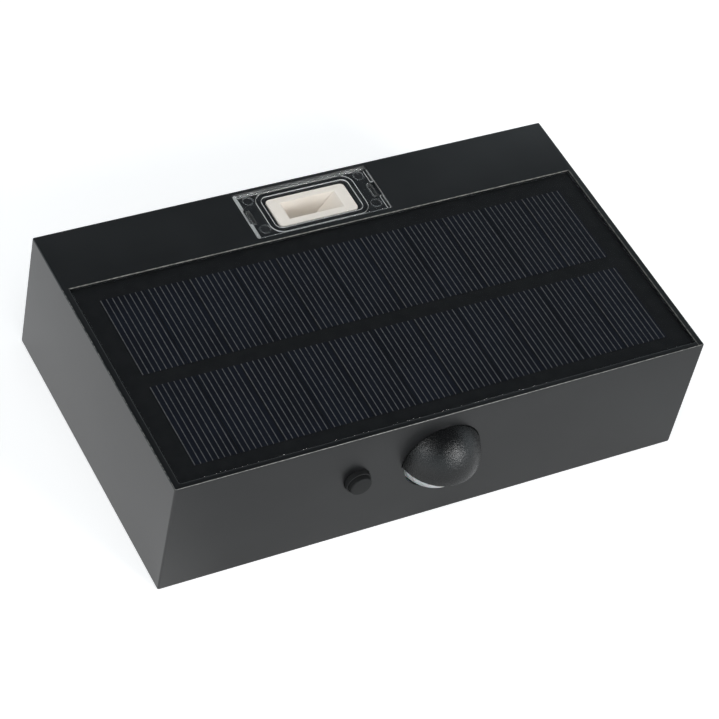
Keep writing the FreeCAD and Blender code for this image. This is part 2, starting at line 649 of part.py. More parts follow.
# ---- window module --------------------------------------------------------------
def make_window():
    """Clear plate with end and side walls, a ring rib round the reflector and two snap hooks."""
    plate = rounded_plate(PLATE_WIDTH, PLATE_DEPTH, WINDOW_CORNER, WINDOW_Y, PLATE_Z, PLATE_TOP_Z)
    walls = rounded_plate(PLATE_WIDTH, PLATE_DEPTH, WINDOW_CORNER, WINDOW_Y, POCKET_Z, PLATE_Z)
    walls = walls.cut(block(END_WALL - PLATE_WIDTH / 2, PLATE_WIDTH / 2 - END_WALL,
                            WINDOW_Y - PLATE_DEPTH / 2 + SIDE_WALL,
                            WINDOW_Y + PLATE_DEPTH / 2 - SIDE_WALL, POCKET_Z, PLATE_Z))
    notch = SNAP_WIDTH / 2 + 2 * SNAP_GAP
    walls = walls.cut(block(-WINDOW_WIDTH, WINDOW_WIDTH, WINDOW_Y - notch, WINDOW_Y + notch,
                            POCKET_Z, PLATE_Z))
    ring = rounded_plate(RING_WIDTH, RING_DEPTH, RING_RADIUS, WINDOW_Y, POCKET_Z, PLATE_Z)
    ring = ring.cut(rounded_plate(RING_WIDTH - 2 * RING_WALL, RING_DEPTH - 2 * RING_WALL,
                                  RING_RADIUS - RING_WALL, WINDOW_Y, POCKET_Z, PLATE_Z))
    pieces = [plate, walls, ring]
    hook_z = POCKET_INNER_Z - SNAP_GAP
    for side in (-1, 1):
        inner_x = SNAP_X - SNAP_THICKNESS / 2
        outer_x = SNAP_X + SNAP_THICKNESS / 2
        x0, x1 = sorted((side * inner_x, side * outer_x))
        y0, y1 = WINDOW_Y - SNAP_WIDTH / 2, WINDOW_Y + SNAP_WIDTH / 2
        pieces.append(block(x0, x1, y0, y1, hook_z - SNAP_HOOK_HEIGHT, PLATE_Z))
        tip = [V(side * outer_x, y0, hook_z), V(side * (outer_x + SNAP_HOOK), y0, hook_z),
               V(side * outer_x, y0, hook_z - SNAP_HOOK_HEIGHT)]
        pieces.append(Part.Face(Part.makePolygon(tip + tip[:1])).extrude(V(0, y1 - y0, 0)))
    return fused(pieces)


def make_reflector():
    """White tub: a flat flange round a funnel whose two ends slope in towards the LEDs."""
    flange = rounded_plate(REFLECTOR_WIDTH, REFLECTOR_DEPTH, REFLECTOR_CORNER, WINDOW_Y, FLANGE_Z, POCKET_Z)
    slope = tan(radians(FUNNEL_SLANT))
    bottom_width = FUNNEL_WIDTH - 2 * FUNNEL_HEIGHT * slope
    flange_width = FUNNEL_WIDTH - 2 * REFLECTOR_FLANGE * slope
    outside = taper(bottom_width + 2 * REFLECTOR_WALL, LED_BOARD_Z,
                    flange_width + 2 * REFLECTOR_WALL, FLANGE_Z,
                    FUNNEL_DEPTH + 2 * REFLECTOR_WALL, WINDOW_Y)
    funnel = taper(bottom_width, LED_BOARD_Z, FUNNEL_WIDTH, POCKET_Z, FUNNEL_DEPTH, WINDOW_Y)
    return fused([flange, outside]).cut(funnel)


def make_led_board():
    board = block(-LED_BOARD_WIDTH / 2, LED_BOARD_WIDTH / 2,
                  WINDOW_Y - LED_BOARD_DEPTH / 2, WINDOW_Y + LED_BOARD_DEPTH / 2,
                  LED_BOARD_Z - LED_BOARD_THICKNESS, LED_BOARD_Z)
    holes = [post_z(side * STAKE_X, WINDOW_Y, STAKE_PIN + 2 * STAKE_GAP,
                    LED_BOARD_Z - LED_BOARD_THICKNESS, LED_BOARD_Z) for side in (-1, 1)]
    return board.cut(holes)


def make_leds():
    leds = []
    for i in range(LED_COUNT):
        x = (i - (LED_COUNT - 1) / 2) * LED_PITCH
        leds.append(block(x - LED_WIDTH / 2, x + LED_WIDTH / 2, WINDOW_Y - LED_LENGTH / 2,
                          WINDOW_Y + LED_LENGTH / 2, LED_BOARD_Z, LED_BOARD_Z + LED_HEIGHT))
    return Part.makeCompound(leds)


# ---- motion sensor ----------------------------------------------------------------
def make_hood():
    """Eyelid: half of a thin ball, a half ring through the wall, and a square flange behind the wall."""
    outer, inner = HOOD_SPHERE_RADIUS, HOOD_SPHERE_RADIUS - HOOD_WALL
    outside = dome(outer, HOOD_CENTRE_Y, HOOD_BASE_RADIUS, HOOD_STEPS)
    inside = dome(inner, HOOD_CENTRE_Y, HOOD_BORE_RADIUS, HOOD_STEPS)
    through = [(HOOD_BASE_RADIUS, FRONT_INNER_Y), (HOOD_BORE_RADIUS, FRONT_INNER_Y)]
    shell = turned(outside + through + inside[::-1], 0, SENSOR_Z)
    reach = 2 * outer
    drop = reach * HOOD_SLOPE
    keep = [V(-reach, FRONT_INNER_Y, SENSOR_Z), V(-reach, FRONT_Y, SENSOR_Z),
            V(-reach, FRONT_Y - reach, SENSOR_Z - drop), V(-reach, FRONT_Y - reach, SENSOR_Z + reach),
            V(-reach, FRONT_INNER_Y, SENSOR_Z + reach)]
    eyelid = shell.common(Part.Face(Part.makePolygon(keep + keep[:1])).extrude(V(2 * reach, 0, 0)))
    flange = post_y(0, SENSOR_Z, HOOD_FLANGE_SIDE, FRONT_INNER_Y, HOOD_FLANGE_Y)
    bore = rod_y(0, SENSOR_Z, HOOD_BORE_RADIUS, FRONT_INNER_Y, HOOD_FLANGE_Y)
    bore = bore.fuse(rod_y(0, LENS_Z, LENS_RADIUS + LENS_FIT, FRONT_INNER_Y, HOOD_FLANGE_Y))
    return fused([eyelid, flange.cut(bore)])


def make_lens():
    """Domed lens of thin milky plastic with a square clamping flange behind the wall."""
    outer = (LENS_RADIUS ** 2 + LENS_HEIGHT ** 2) / (2 * LENS_HEIGHT)
    centre_y = FRONT_Y - LENS_HEIGHT + outer
    bore = LENS_RADIUS - LENS_WALL
    outside = dome(outer, centre_y, LENS_RADIUS, LENS_STEPS)
    inside = dome(outer - LENS_WALL, centre_y, bore, LENS_INNER_STEPS)
    rim = [(LENS_RADIUS, LENS_FLANGE_Y), (bore, LENS_FLANGE_Y)]
    shell = turned(outside + rim + inside[::-1], 0, LENS_Z)
    flange = post_y(0, LENS_Z, LENS_FLANGE_SIDE, HOOD_FLANGE_Y, LENS_FLANGE_Y)
    return fused([shell, flange.cut(rod_y(0, LENS_Z, LENS_RADIUS, HOOD_FLANGE_Y, LENS_FLANGE_Y))])


def make_lens_retainer():
    """Square sleeve between the lens flange and the main board; it presses the lens home."""
    sleeve = post_y(0, LENS_Z, LENS_FLANGE_SIDE, LENS_FLANGE_Y, MAIN_BOARD_Y)
    return sleeve.cut(post_y(0, LENS_Z, LENS_FLANGE_SIDE - 2 * RETAINER_WALL, LENS_FLANGE_Y, MAIN_BOARD_Y))


def make_sensor():
    """Metal can with a brim on the main board and a window in its front."""
    front_y = MAIN_BOARD_Y - SENSOR_CAN_HEIGHT
    brim_y = MAIN_BOARD_Y - SENSOR_CAN_BRIM
    can = turned([(0, front_y), (SENSOR_CAN_RADIUS, front_y), (SENSOR_CAN_RADIUS, brim_y),
                  (SENSOR_CAN_BRIM_RADIUS, brim_y), (SENSOR_CAN_BRIM_RADIUS, MAIN_BOARD_Y),
                  (0, MAIN_BOARD_Y)], 0, LENS_Z)
    window = block(-SENSOR_WINDOW_WIDTH / 2, SENSOR_WINDOW_WIDTH / 2, front_y, front_y + SENSOR_CAN_BRIM / 2,
                   LENS_Z - SENSOR_WINDOW_HEIGHT / 2, LENS_Z + SENSOR_WINDOW_HEIGHT / 2)
    return can.cut(window)


# ---- push button ----------------------------------------------------------------------
def make_button_collar():
    """Ring round the cap, held by a flange behind the wall."""
    top_y = FRONT_Y - BUTTON_COLLAR_HEIGHT
    bore = BUTTON_CAP_RADIUS + BUTTON_RUNNING_FIT
    return turned([(bore, top_y), (BUTTON_COLLAR_RADIUS, top_y), (BUTTON_COLLAR_RADIUS, FRONT_INNER_Y),
                   (BUTTON_COLLAR_FLANGE_RADIUS, FRONT_INNER_Y),
                   (BUTTON_COLLAR_FLANGE_RADIUS, COLLAR_FLANGE_Y), (bore, COLLAR_FLANGE_Y)],
                  BUTTON_X, SENSOR_Z)


def make_button_cap():
    """Round cap with a chamfered rim, a stop flange inside and a stem that meets the switch."""
    top_y = FRONT_Y - BUTTON_CAP_HEIGHT
    return turned([(0, top_y), (BUTTON_CAP_RADIUS - BUTTON_CAP_CHAMFER, top_y),
                   (BUTTON_CAP_RADIUS, top_y + BUTTON_CAP_CHAMFER), (BUTTON_CAP_RADIUS, COLLAR_FLANGE_Y),
                   (BUTTON_CAP_FLANGE_RADIUS, COLLAR_FLANGE_Y), (BUTTON_CAP_FLANGE_RADIUS, CAP_FLANGE_Y),
                   (BUTTON_STEM_RADIUS, CAP_FLANGE_Y), (BUTTON_STEM_RADIUS, PLUNGER_Y),
                   (0, PLUNGER_Y)], BUTTON_X, SENSOR_Z)


def make_switch_body():
    half = SWITCH_SIZE / 2
    bore = PLUNGER_DEPTH + BUTTON_TRAVEL + PLUNGER_END_GAP
    body = block(BUTTON_X - half, BUTTON_X + half, SWITCH_Y, MAIN_BOARD_Y, SENSOR_Z - half, SENSOR_Z + half)
    return body.cut(rod_y(BUTTON_X, SENSOR_Z, PLUNGER_RADIUS + BUTTON_RUNNING_FIT, SWITCH_Y, SWITCH_Y + bore))


def make_switch_plunger():
    return rod_y(BUTTON_X, SENSOR_Z, PLUNGER_RADIUS, PLUNGER_Y, SWITCH_Y + PLUNGER_DEPTH)


# ---- main board --------------------------------------------------------------------------
def make_main_board():
    x, z = MAIN_BOARD_WIDTH / 2, MAIN_BOARD_HEIGHT / 2
    board = block(MAIN_BOARD_CENTRE_X - x, MAIN_BOARD_CENTRE_X + x, MAIN_BOARD_Y, MAIN_BOARD_BACK_Y,
                  MAIN_BOARD_CENTRE_Z - z, MAIN_BOARD_CENTRE_Z + z)
    holes = [rod_y(x, z, BOARD_SCREW_RADIUS + SCREW_PASS_GAP, MAIN_BOARD_Y, MAIN_BOARD_BACK_Y)
             for x, z in board_places(True)]
    return board.cut(holes)


def make_board_screws():
    screws = [screw(BOARD_SCREW_RADIUS, BOARD_SCREW_LENGTH, V(x, MAIN_BOARD_BACK_Y, z), V(0, -1, 0))
              for x, z in board_places(True)]
    return Part.makeCompound(screws)


def connector_x(index):
    """The middle of one of the connectors in the row along the board's lower edge."""
    return MAIN_BOARD_CENTRE_X + (index - (CONNECTOR_COUNT - 1) / 2) * CONNECTOR_PITCH


def make_lead_connectors():
    sockets = []
    for index in range(CONNECTOR_COUNT):
        x = connector_x(index)
        sockets.append(block(x - CONNECTOR_WIDTH / 2, x + CONNECTOR_WIDTH / 2, MAIN_BOARD_BACK_Y, CONNECTOR_Y,
                             CONNECTOR_Z - CONNECTOR_HEIGHT / 2, CONNECTOR_Z + CONNECTOR_HEIGHT / 2))
    return Part.makeCompound(sockets)


def make_board_components():
    """Capacitor, inductor and two chips on the back of the main board."""
    y, x, z = MAIN_BOARD_BACK_Y, MAIN_BOARD_CENTRE_X, MAIN_BOARD_CENTRE_Z + COMPONENT_RISE
    parts = [rod_y(x - CAN_SPREAD, z, CAPACITOR_RADIUS, y, y + CAPACITOR_LENGTH),
             rod_y(x + CAN_SPREAD, z, INDUCTOR_RADIUS, y, y + INDUCTOR_LENGTH)]
    for side in (-1, 1):
        chip_x = x + side * CHIP_SPREAD
        parts.append(block(chip_x - CHIP_WIDTH / 2, chip_x + CHIP_WIDTH / 2, y, y + CHIP_DEPTH,
                           z - CHIP_HEIGHT / 2, z + CHIP_HEIGHT / 2))
    return Part.makeCompound(parts)


# ---- battery --------------------------------------------------------------------------------
def make_battery_cell():
    half = CELL_BODY_LENGTH / 2
    body = rod_x(BATTERY_Y, BATTERY_Z, CELL_RADIUS, BATTERY_X - half, BATTERY_X + half)
    button = rod_x(BATTERY_Y, BATTERY_Z, CELL_BUTTON_RADIUS,
                   BATTERY_X + half, BATTERY_X + half + CELL_BUTTON_HEIGHT)
    return fused([body, button])


def make_battery_cradle():
    """Trough with end walls, whose sides rise past the cell's middle so that the cell snaps in."""
    outside = block(BATTERY_X - CRADLE_HALF_X, BATTERY_X + CRADLE_HALF_X,
                    BATTERY_Y - CRADLE_HALF_Y, BATTERY_Y + CRADLE_HALF_Y, CRADLE_Z, CRADLE_TOP_Z)
    return outside.cut(rod_x(BATTERY_Y, BATTERY_Z, CELL_RADIUS + BATTERY_CLEARANCE,
                             BATTERY_X - CRADLE_CAVITY_X, BATTERY_X + CRADLE_CAVITY_X))


def make_cradle_tape():
    """Two strips of double-sided foam tape between the cradle and the housing."""
    return Part.makeCompound(cradle_strips(BATTERY_X - CRADLE_HALF_X, BATTERY_X + CRADLE_HALF_X,
                                           -POCKET_INNER_Z, CRADLE_Z))


def make_battery_contacts():
    """A metal leaf at each end of the cell, standing against the cradle's end wall."""
    leaves = []
    for side in (-1, 1):
        x = side * CRADLE_CAVITY_X
        x0, x1 = sorted((BATTERY_X + x, BATTERY_X + x - side * CONTACT_THICKNESS))
        leaves.append(block(x0, x1, BATTERY_Y - CONTACT_WIDTH / 2, BATTERY_Y + CONTACT_WIDTH / 2,
                            BATTERY_Z - CONTACT_WIDTH / 2, BATTERY_Z + CELL_RADIUS))
    return Part.makeCompound(leaves)


# ---- leads inside the housing ------------------------------------------------------------------
def to_connector(z_before):
    """The last points of every lead, as y and z: in line with its connector, after a slope from z_before."""
    slope_start = (CONNECTOR_Y + LEAD_EXIT + abs(z_before - CONNECTOR_Z), z_before)
    return [slope_start, (CONNECTOR_Y + LEAD_EXIT, CONNECTOR_Z), (CONNECTOR_Y, CONNECTOR_Z)]


def make_battery_leads():
    """From the front of the cradle, level and then up to their connector."""
    z = CRADLE_Z + CRADLE_BASE + CELL_RADIUS / 2
    return lead(connector_x(BATTERY_LEADS), [(BATTERY_Y - CRADLE_HALF_Y, z)] + to_connector(z))


def make_panel_leads():
    """From the panel, down through the hole in the recess floor, then forward to their connector."""
    y = CONNECTOR_Y + PANEL_LEAD_RUN
    return lead(connector_x(PANEL_LEADS), [(y, BOARD_Z + BOARD_THICKNESS / 2), (y, CONNECTOR_Z),
                                           (CONNECTOR_Y, CONNECTOR_Z)])


def led_lead_start():
    """Where leads meet the front edge of the upper LED board, and their first bend."""
    z = LED_BOARD_Z - LED_BOARD_THICKNESS / 2
    edge_y = WINDOW_Y - LED_BOARD_DEPTH / 2
    return [(edge_y, z), (edge_y - LEAD_EXIT, z)]


def make_upper_led_leads():
    """From the upper LED board, in one long slope down to their connector."""
    return lead(connector_x(UPPER_LED_LEADS), led_lead_start() + to_connector(CONNECTOR_Z)[1:])


def make_lower_led_leads():
    """From the lower LED board down to the floor, along it and up to their connector."""
    start = [(y, -z) for y, z in led_lead_start()]
    floor_z = LEAD_THICKNESS / 2 - POCKET_INNER_Z
    down_y = start[1][0] - abs(start[1][1] - floor_z)
    return lead(connector_x(LOWER_LED_LEADS), start + [(down_y, floor_z)] + to_connector(floor_z))


# ---- every piece by name ------------------------------------------------------------------------
def make_all():
    window, reflector, led_board = make_window(), make_reflector(), make_led_board()
    leds = make_leds()
    return {
        "housing": make_housing(),
        "back_cover": make_back_cover(),
        "back_gasket": make_back_gasket(),
        "cover_screws": make_cover_screws(),
        "panel_adhesive": make_panel_adhesive(),
        "panel_board": make_panel_board(),
        "solar_cells": Part.makeCompound(cell_boxes()),
        "panel_film": make_panel_film(),
        "upper_window": window,
        "upper_reflector": reflector,
        "upper_led_board": led_board,
        "upper_leds": leds,
        "lower_window": mirrored_down(window),
        "lower_reflector": mirrored_down(reflector),
        "lower_led_board": mirrored_down(led_board),
        "lower_leds": mirrored_down(leds),
        "sensor_hood": make_hood(),
        "sensor_lens": make_lens(),
        "lens_retainer": make_lens_retainer(),
        "motion_sensor": make_sensor(),
        "button_collar": make_button_collar(),
        "button_cap": make_button_cap(),
        "switch_body": make_switch_body(),
        "switch_plunger": make_switch_plunger(),
        "main_board": make_main_board(),
        "board_screws": make_board_screws(),
        "lead_connectors": make_lead_connectors(),
        "board_components": make_board_components(),
        "battery_cell": make_battery_cell(),
        "battery_cradle": make_battery_cradle(),
        "battery_contacts": make_battery_contacts(),
        "cradle_tape": make_cradle_tape(),
        "battery_leads": make_battery_leads(),
        "panel_leads": make_panel_leads(),
        "upper_led_leads": make_upper_led_leads(),
        "lower_led_leads": make_lower_led_leads(),
    }


os.makedirs("parts", exist_ok=True)
for name, shape in make_all().items():
    shape.exportStep("parts/" + name + ".step")
    print(name, len(shape.Solids), shape.isValid(), round(shape.Volume, 1))
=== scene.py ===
from math import acos, cos, pi, radians, sin

import bmesh
import bpy
import numpy as np
from mathutils import Matrix, Vector


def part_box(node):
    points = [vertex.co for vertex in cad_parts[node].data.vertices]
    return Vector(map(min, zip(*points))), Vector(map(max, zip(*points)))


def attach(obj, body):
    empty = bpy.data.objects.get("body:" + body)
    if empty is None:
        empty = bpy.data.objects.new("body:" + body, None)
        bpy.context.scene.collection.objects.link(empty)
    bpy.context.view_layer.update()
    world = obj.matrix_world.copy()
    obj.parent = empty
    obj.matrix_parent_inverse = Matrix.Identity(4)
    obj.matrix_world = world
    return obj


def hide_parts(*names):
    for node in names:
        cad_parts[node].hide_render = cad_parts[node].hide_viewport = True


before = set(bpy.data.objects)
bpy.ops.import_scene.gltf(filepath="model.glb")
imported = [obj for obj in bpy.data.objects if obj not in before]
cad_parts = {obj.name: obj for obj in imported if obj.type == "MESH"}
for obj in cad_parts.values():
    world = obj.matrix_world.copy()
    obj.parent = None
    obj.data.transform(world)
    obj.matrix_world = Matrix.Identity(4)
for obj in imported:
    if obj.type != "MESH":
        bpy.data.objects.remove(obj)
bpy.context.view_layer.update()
MM = 0.001

# ---- Housing ---------------------------------------------------------------------
# The one-piece box, injection moulded in black ABS and open at the back.
# Its mould is spark eroded, which leaves a satin grain, and its rims are slightly
# rounded. A little dust lies on it.
WELD = 0.002 * MM
RIM_RADIUS = 0.3 * MM
SKIN = 0.01 * MM
RECESS_GAP = 0.3 * MM
LINE_HALF = 0.09 * MM
TOP_FILLET = 0.18 * MM
GRAIN_DEPTH = 0.003 * MM
DUST_SPACING = 9 * MM
DUST_RADIUS = 0.16 * MM
BLACK = (0.0042, 0.0044, 0.0048, 1)
BLACK_WORN = (0.0068, 0.0070, 0.0074, 1)
DUST = (0.16, 0.155, 0.145, 1)
# A light colour painted on as highlight lines along the rims and top edges.
RIM_HIGHLIGHT_PAINT = (0.17, 0.165, 0.15, 1)


class Wire:
    """An output socket of a material. Operators add Math nodes, and node() adds any other node."""

    def __init__(self, tree, socket):
        self.tree = tree
        self.socket = socket

    def node(self, kind, settings, sockets, out=0):
        """Adds a node of that kind: its settings first, then a value or a link on each socket."""
        made = self.tree.nodes.new(kind)
        for name, value in settings.items():
            setattr(made, name, value)
        for name, value in sockets.items():
            if isinstance(value, Wire):
                self.tree.links.new(value.socket, made.inputs[name])
            else:
                made.inputs[name].default_value = value
        return Wire(self.tree, made.outputs[out])

    def maths(self, operation, *values):
        return self.node("ShaderNodeMath", {"operation": operation}, dict(enumerate(values)))

    def __add__(self, other):
        return self.maths("ADD", self, other)

    def __radd__(self, other):
        return self.maths("ADD", other, self)

    def __sub__(self, other):
        return self.maths("SUBTRACT", self, other)

    def __rsub__(self, other):
        return self.maths("SUBTRACT", other, self)

    def __mul__(self, other):
        return self.maths("MULTIPLY", self, other)

    def __rmul__(self, other):
        return self.maths("MULTIPLY", other, self)

    def __truediv__(self, other):
        return self.maths("DIVIDE", self, other)

    def __abs__(self):
        return self.maths("ABSOLUTE", self)


def axis_of(point, axis):
    """One coordinate of the point: 0, 1 or 2 for x, y or z."""
    return point.node("ShaderNodeSeparateXYZ", {}, {0: point}, out=axis)


def noise(point, scale, detail=2.0):
    """Cloudy values about 0.5, with that many clouds a metre."""
    return point.node("ShaderNodeTexNoise", {}, {"Vector": point, "Scale": scale, "Detail": detail})


def fade(value, start, end):
    """0 where the value is at start or before it, 1 at end and past it, smooth between."""
    return value.node("ShaderNodeMapRange", {"interpolation_type": "SMOOTHSTEP"},
                      {"Value": value, "From Min": start, "From Max": end})


def blend(mask, low, high):
    """The low colour where the mask is 0 and the high one where it is 1."""
    return mask.node("ShaderNodeMix", {"data_type": "RGBA"}, {0: mask, 6: low, 7: high}, out=2)


def relief(height, depth):
    """Normals of a surface that stands depth metres proud where height is 1."""
    return height.node("ShaderNodeBump", {}, {"Height": height, "Distance": depth})


def specks(point, spacing, radius):
    """1 on small scattered specks: spots round the points of a random lattice, 0 elsewhere."""
    apart = point.node("ShaderNodeTexVoronoi", {}, {"Vector": point, "Scale": 1 / spacing})
    return 1 - fade(apart, 0.5 * radius / spacing, radius / spacing)


def finish(name, still, paint=None):
    """A Principled material. still holds what is the same all over; paint(point) gives what changes."""
    made = bpy.data.materials.new(name)
    made.use_nodes = True
    tree = made.node_tree
    shader = tree.nodes["Principled BSDF"]
    for socket, value in still.items():
        shader.inputs[socket].default_value = value
    if paint:
        place = tree.nodes.new("ShaderNodeTexCoord")
        for socket, wire in paint(Wire(tree, place.outputs["Object"])).items():
            tree.links.new(wire.socket, shader.inputs[socket])
    return made


def coat(piece, made):
    """Puts the material on every slot of a piece."""
    if not piece.material_slots:
        piece.data.materials.append(made)
    for slot in piece.material_slots:
        slot.material = made
    return piece


def coat_nodes(made, *names):
    """Puts the material on CAD nodes that show as they are."""
    for name in names:
        coat(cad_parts[name], made)


def smooth(mesh, angle):
    """Shades a mesh smooth, except across edges that turn by more than the angle."""
    mesh.shade_smooth()
    mesh.set_sharp_from_angle(angle=radians(angle))


def welded_copy(node, name, body, made, smooth_angle=35):
    """A CAD node's own form, its loose triangles welded and its flats made whole, in the node's place."""
    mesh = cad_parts[node].data.copy()
    mesh.name = name
    mesh.materials.clear()
    if "custom_normal" in mesh.attributes:
        mesh.attributes.remove(mesh.attributes["custom_normal"])
    shape = bmesh.new()
    shape.from_mesh(mesh)
    bmesh.ops.remove_doubles(shape, verts=shape.verts, dist=WELD)
    bmesh.ops.dissolve_limit(shape, angle_limit=radians(0.5), verts=shape.verts, edges=shape.edges)
    shape.to_mesh(mesh)
    shape.free()
    smooth(mesh, smooth_angle)
    piece = bpy.data.objects.new(name, mesh)
    bpy.context.scene.collection.objects.link(piece)
    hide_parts(node)
    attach(piece, body)
    return coat(piece, made)


def round_edges(piece, radius, segments=2, angle=None):
    """Rounds edges: those that turn by more than the angle, or the ones that carry a bevel weight."""
    rounding = piece.modifiers.new("rounded edges", "BEVEL")
    rounding.width = radius
    rounding.segments = segments
    rounding.limit_method = "WEIGHT" if angle is None else "ANGLE"
    if angle is not None:
        rounding.angle_limit = radians(angle)
    rounding.harden_normals = True
    rounding.use_clamp_overlap = angle is not None
    return piece


def mark_rims(piece, low, high):
    """Gives a bevel weight to sharp edges that lie in the outer skin of the box between two corners."""
    mesh = piece.data
    ends = np.zeros(len(mesh.edges) * 2, int)
    mesh.edges.foreach_get("vertices", ends)
    spots = np.zeros(len(mesh.vertices) * 3)
    mesh.vertices.foreach_get("co", spots)
    pair = spots.reshape(-1, 3)[ends.reshape(-1, 2)]
    sharp = np.zeros(len(mesh.edges), bool)
    mesh.attributes["sharp_edge"].data.foreach_get("value", sharp)
    at_low = (np.abs(pair - np.array(low)) < SKIN).all(axis=1)
    at_high = (np.abs(pair - np.array(high)) < SKIN).all(axis=1)
    weight = mesh.attributes.new("bevel_weight_edge", "FLOAT", "EDGE")
    weight.data.foreach_set("value", (sharp & (at_low | at_high).any(axis=1)).astype(np.float32))


def thin_line(away):
    """1 where the distance is under half a line's width, fading out over as much again."""
    return 1 - fade(away, LINE_HALF, 2 * LINE_HALF)


def painted_rim_highlights(point):
    """1 on thin broken lines of painted highlight, a lighter colour that stands for the light the rounded rims catch:
    on the recess's back and right rims, and on the top front and top left edges, where the distances across and down
    add up on the fillet's middle."""
    low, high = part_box("housing")
    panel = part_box("panel_film")[1] + Vector((1, 1, 0)) * (RECESS_GAP + RIM_RADIUS / 2)
    x, y, z = (axis_of(point, axis) for axis in range(3))
    in_width = 1 - fade(abs(x), panel.x, panel.x + LINE_HALF)
    in_depth = 1 - fade(y, panel.y, panel.y + LINE_HALF)
    rims = thin_line(abs(y - panel.y)) * in_width + thin_line(abs(x - panel.x)) * in_depth * 0.7
    below = abs(z - high.z + TOP_FILLET)
    front_edge = thin_line(abs(y - low.y - TOP_FILLET) + below)
    left_edge = thin_line(abs(x - low.x - TOP_FILLET) + below) * in_depth * fade(noise(point, 700, 1), 0.42, 0.52)
    lines = rims * fade(z, high.z - 1.5 * RIM_RADIUS, high.z - RIM_RADIUS) + (front_edge + left_edge)
    return lines * (0.4 + 0.6 * fade(noise(point, 900, 3), 0.38, 0.6))


def satin_black(point):
    """Fine spark-eroded grain, slow changes of tone and gloss, painted highlight lines on the rims and top edges, and
    a few specks of dust.
    """
    slow = noise(point, 35, 3)
    grain = noise(point, 3200, 1)
    dust = specks(point, DUST_SPACING, DUST_RADIUS) * fade(noise(point, 90), 0.45, 0.6)
    clean = blend(fade(slow, 0.35, 0.65), BLACK, BLACK_WORN)
    # The rims and top edges get painted highlight lines; the specks are dust.
    return {"Base Color": blend(dust, blend(painted_rim_highlights(point), clean, RIM_HIGHLIGHT_PAINT), DUST),
            "Roughness": 0.29 + 0.06 * slow,
            "Normal": relief(grain, GRAIN_DEPTH)}


housing = welded_copy("housing", "housing_shell", "light",
                      finish("satin black ABS", {"IOR": 1.5}, satin_black))
mark_rims(housing, *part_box("housing"))
round_edges(housing, RIM_RADIUS)

# ---- Light windows -----------------------------------------------------------------
# Clear polycarbonate plates snapped into a pocket at the top and at the bottom. A
# ring rib under each plate stands round the white tub. Four ejector pins of the
# mould have left round marks.
WINDOW_EDGE = 0.12 * MM
WINDOW_LIFT = 0.03 * MM
PIN_X = 19.6 * MM
PIN_Y = 6.4 * MM
PIN_RADIUS = 1.7 * MM
FROST = (0.90, 0.91, 0.90, 1)
FROST_SHARE = 0.8
SLOT_X = (20.3 * MM, 22.5 * MM)
SLOT_HALF = 3.3 * MM
END_WALL = 1.0 * MM
MARK_DEPTH = 0.05 * MM
POCKET_FLOOR = 21.0 * MM


def clear_finish(name, still, paint):
    """A clear moulding. Its upright walls are half frosted and catch the light, except the back one and the
    slots' sides, and so is the whole wall at the gate's end. Rays from lamps go straight through, by a
    Transparent shader."""
    made = finish(name, {"Transmission Weight": 1.0, "IOR": 1.5, **still}, paint)
    tree = made.node_tree
    solid = Wire(tree, tree.nodes["Principled BSDF"].outputs[0])
    point = solid.node("ShaderNodeTexCoord", {}, {}, out="Object")
    facing = solid.node("ShaderNodeNewGeometry", {}, {}, out="True Normal")
    upright = 1 - fade(abs(axis_of(facing, 2)), 0.15, 0.5)
    matt = solid.node("ShaderNodeBsdfDiffuse", {}, {"Color": FROST})
    lit_through = solid.node("ShaderNodeBsdfTranslucent", {}, {"Color": FROST})
    frosted = solid.node("ShaderNodeMixShader", {}, {0: 0.5, 1: matt, 2: lit_through})
    low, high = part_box("upper_window")
    out, along = abs(axis_of(point, 0)), abs(axis_of(point, 1) - (low.y + high.y) / 2)
    beside = 1 - fade(along, SLOT_HALF - WINDOW_EDGE, SLOT_HALF)
    past, before = fade(out, SLOT_X[0] - WINDOW_EDGE, SLOT_X[0]), 1 - fade(out, SLOT_X[1], SLOT_X[1] + WINDOW_EDGE)
    slot = past * before * beside
    inset = axis_of(point, 0) - low.x + END_WALL * 0.6 * beside
    gate_end = 1 - fade(inset, 0.9 * END_WALL, 1.1 * END_WALL)
    behind = fade(axis_of(point, 1), high.y - 1.3 * END_WALL, high.y - 1.1 * END_WALL)
    walls = upright * FROST_SHARE * (1 - 0.85 * slot) * (1 - 0.85 * behind)
    share = out.maths("MAXIMUM", walls, gate_end * 0.5)
    body = solid.node("ShaderNodeMixShader", {}, {0: share, 1: solid, 2: frosted})
    is_shadow = solid.node("ShaderNodeLightPath", {}, {}, out="Is Shadow Ray")
    through = solid.node("ShaderNodeBsdfTransparent", {}, {"Color": (0.97, 0.97, 0.97, 1)})
    mixed = solid.node("ShaderNodeMixShader", {}, {0: is_shadow, 1: body, 2: through})
    tree.links.new(mixed.socket, tree.nodes["Material Output"].inputs["Surface"])
    return made


def lift_foot(piece, from_z, lift):
    """Raises the vertices that lie at one height, so that clear feet don't touch what is under them."""
    mesh = piece.data
    spots = np.zeros(len(mesh.vertices) * 3)
    mesh.vertices.foreach_get("co", spots)
    spots = spots.reshape(-1, 3)
    spots[np.abs(spots[:, 2] - from_z) < SKIN, 2] += lift
    mesh.vertices.foreach_set("co", spots.ravel())


def moulded_clear(point):
    """Four round ejector marks, whose edge is where the distance from the nearest pin's middle, mirrored
    from one corner to all, equals its radius."""
    low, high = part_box("upper_window")
    from_x = abs(axis_of(point, 0)) - PIN_X
    from_y = abs(axis_of(point, 1) - (low.y + high.y) / 2) - PIN_Y
    away = from_x.maths("SQRT", from_x * from_x + from_y * from_y)
    mark = 1 - fade(abs(away - PIN_RADIUS), 0.05 * MM, 0.2 * MM)
    return {"Normal": relief(mark, MARK_DEPTH)}


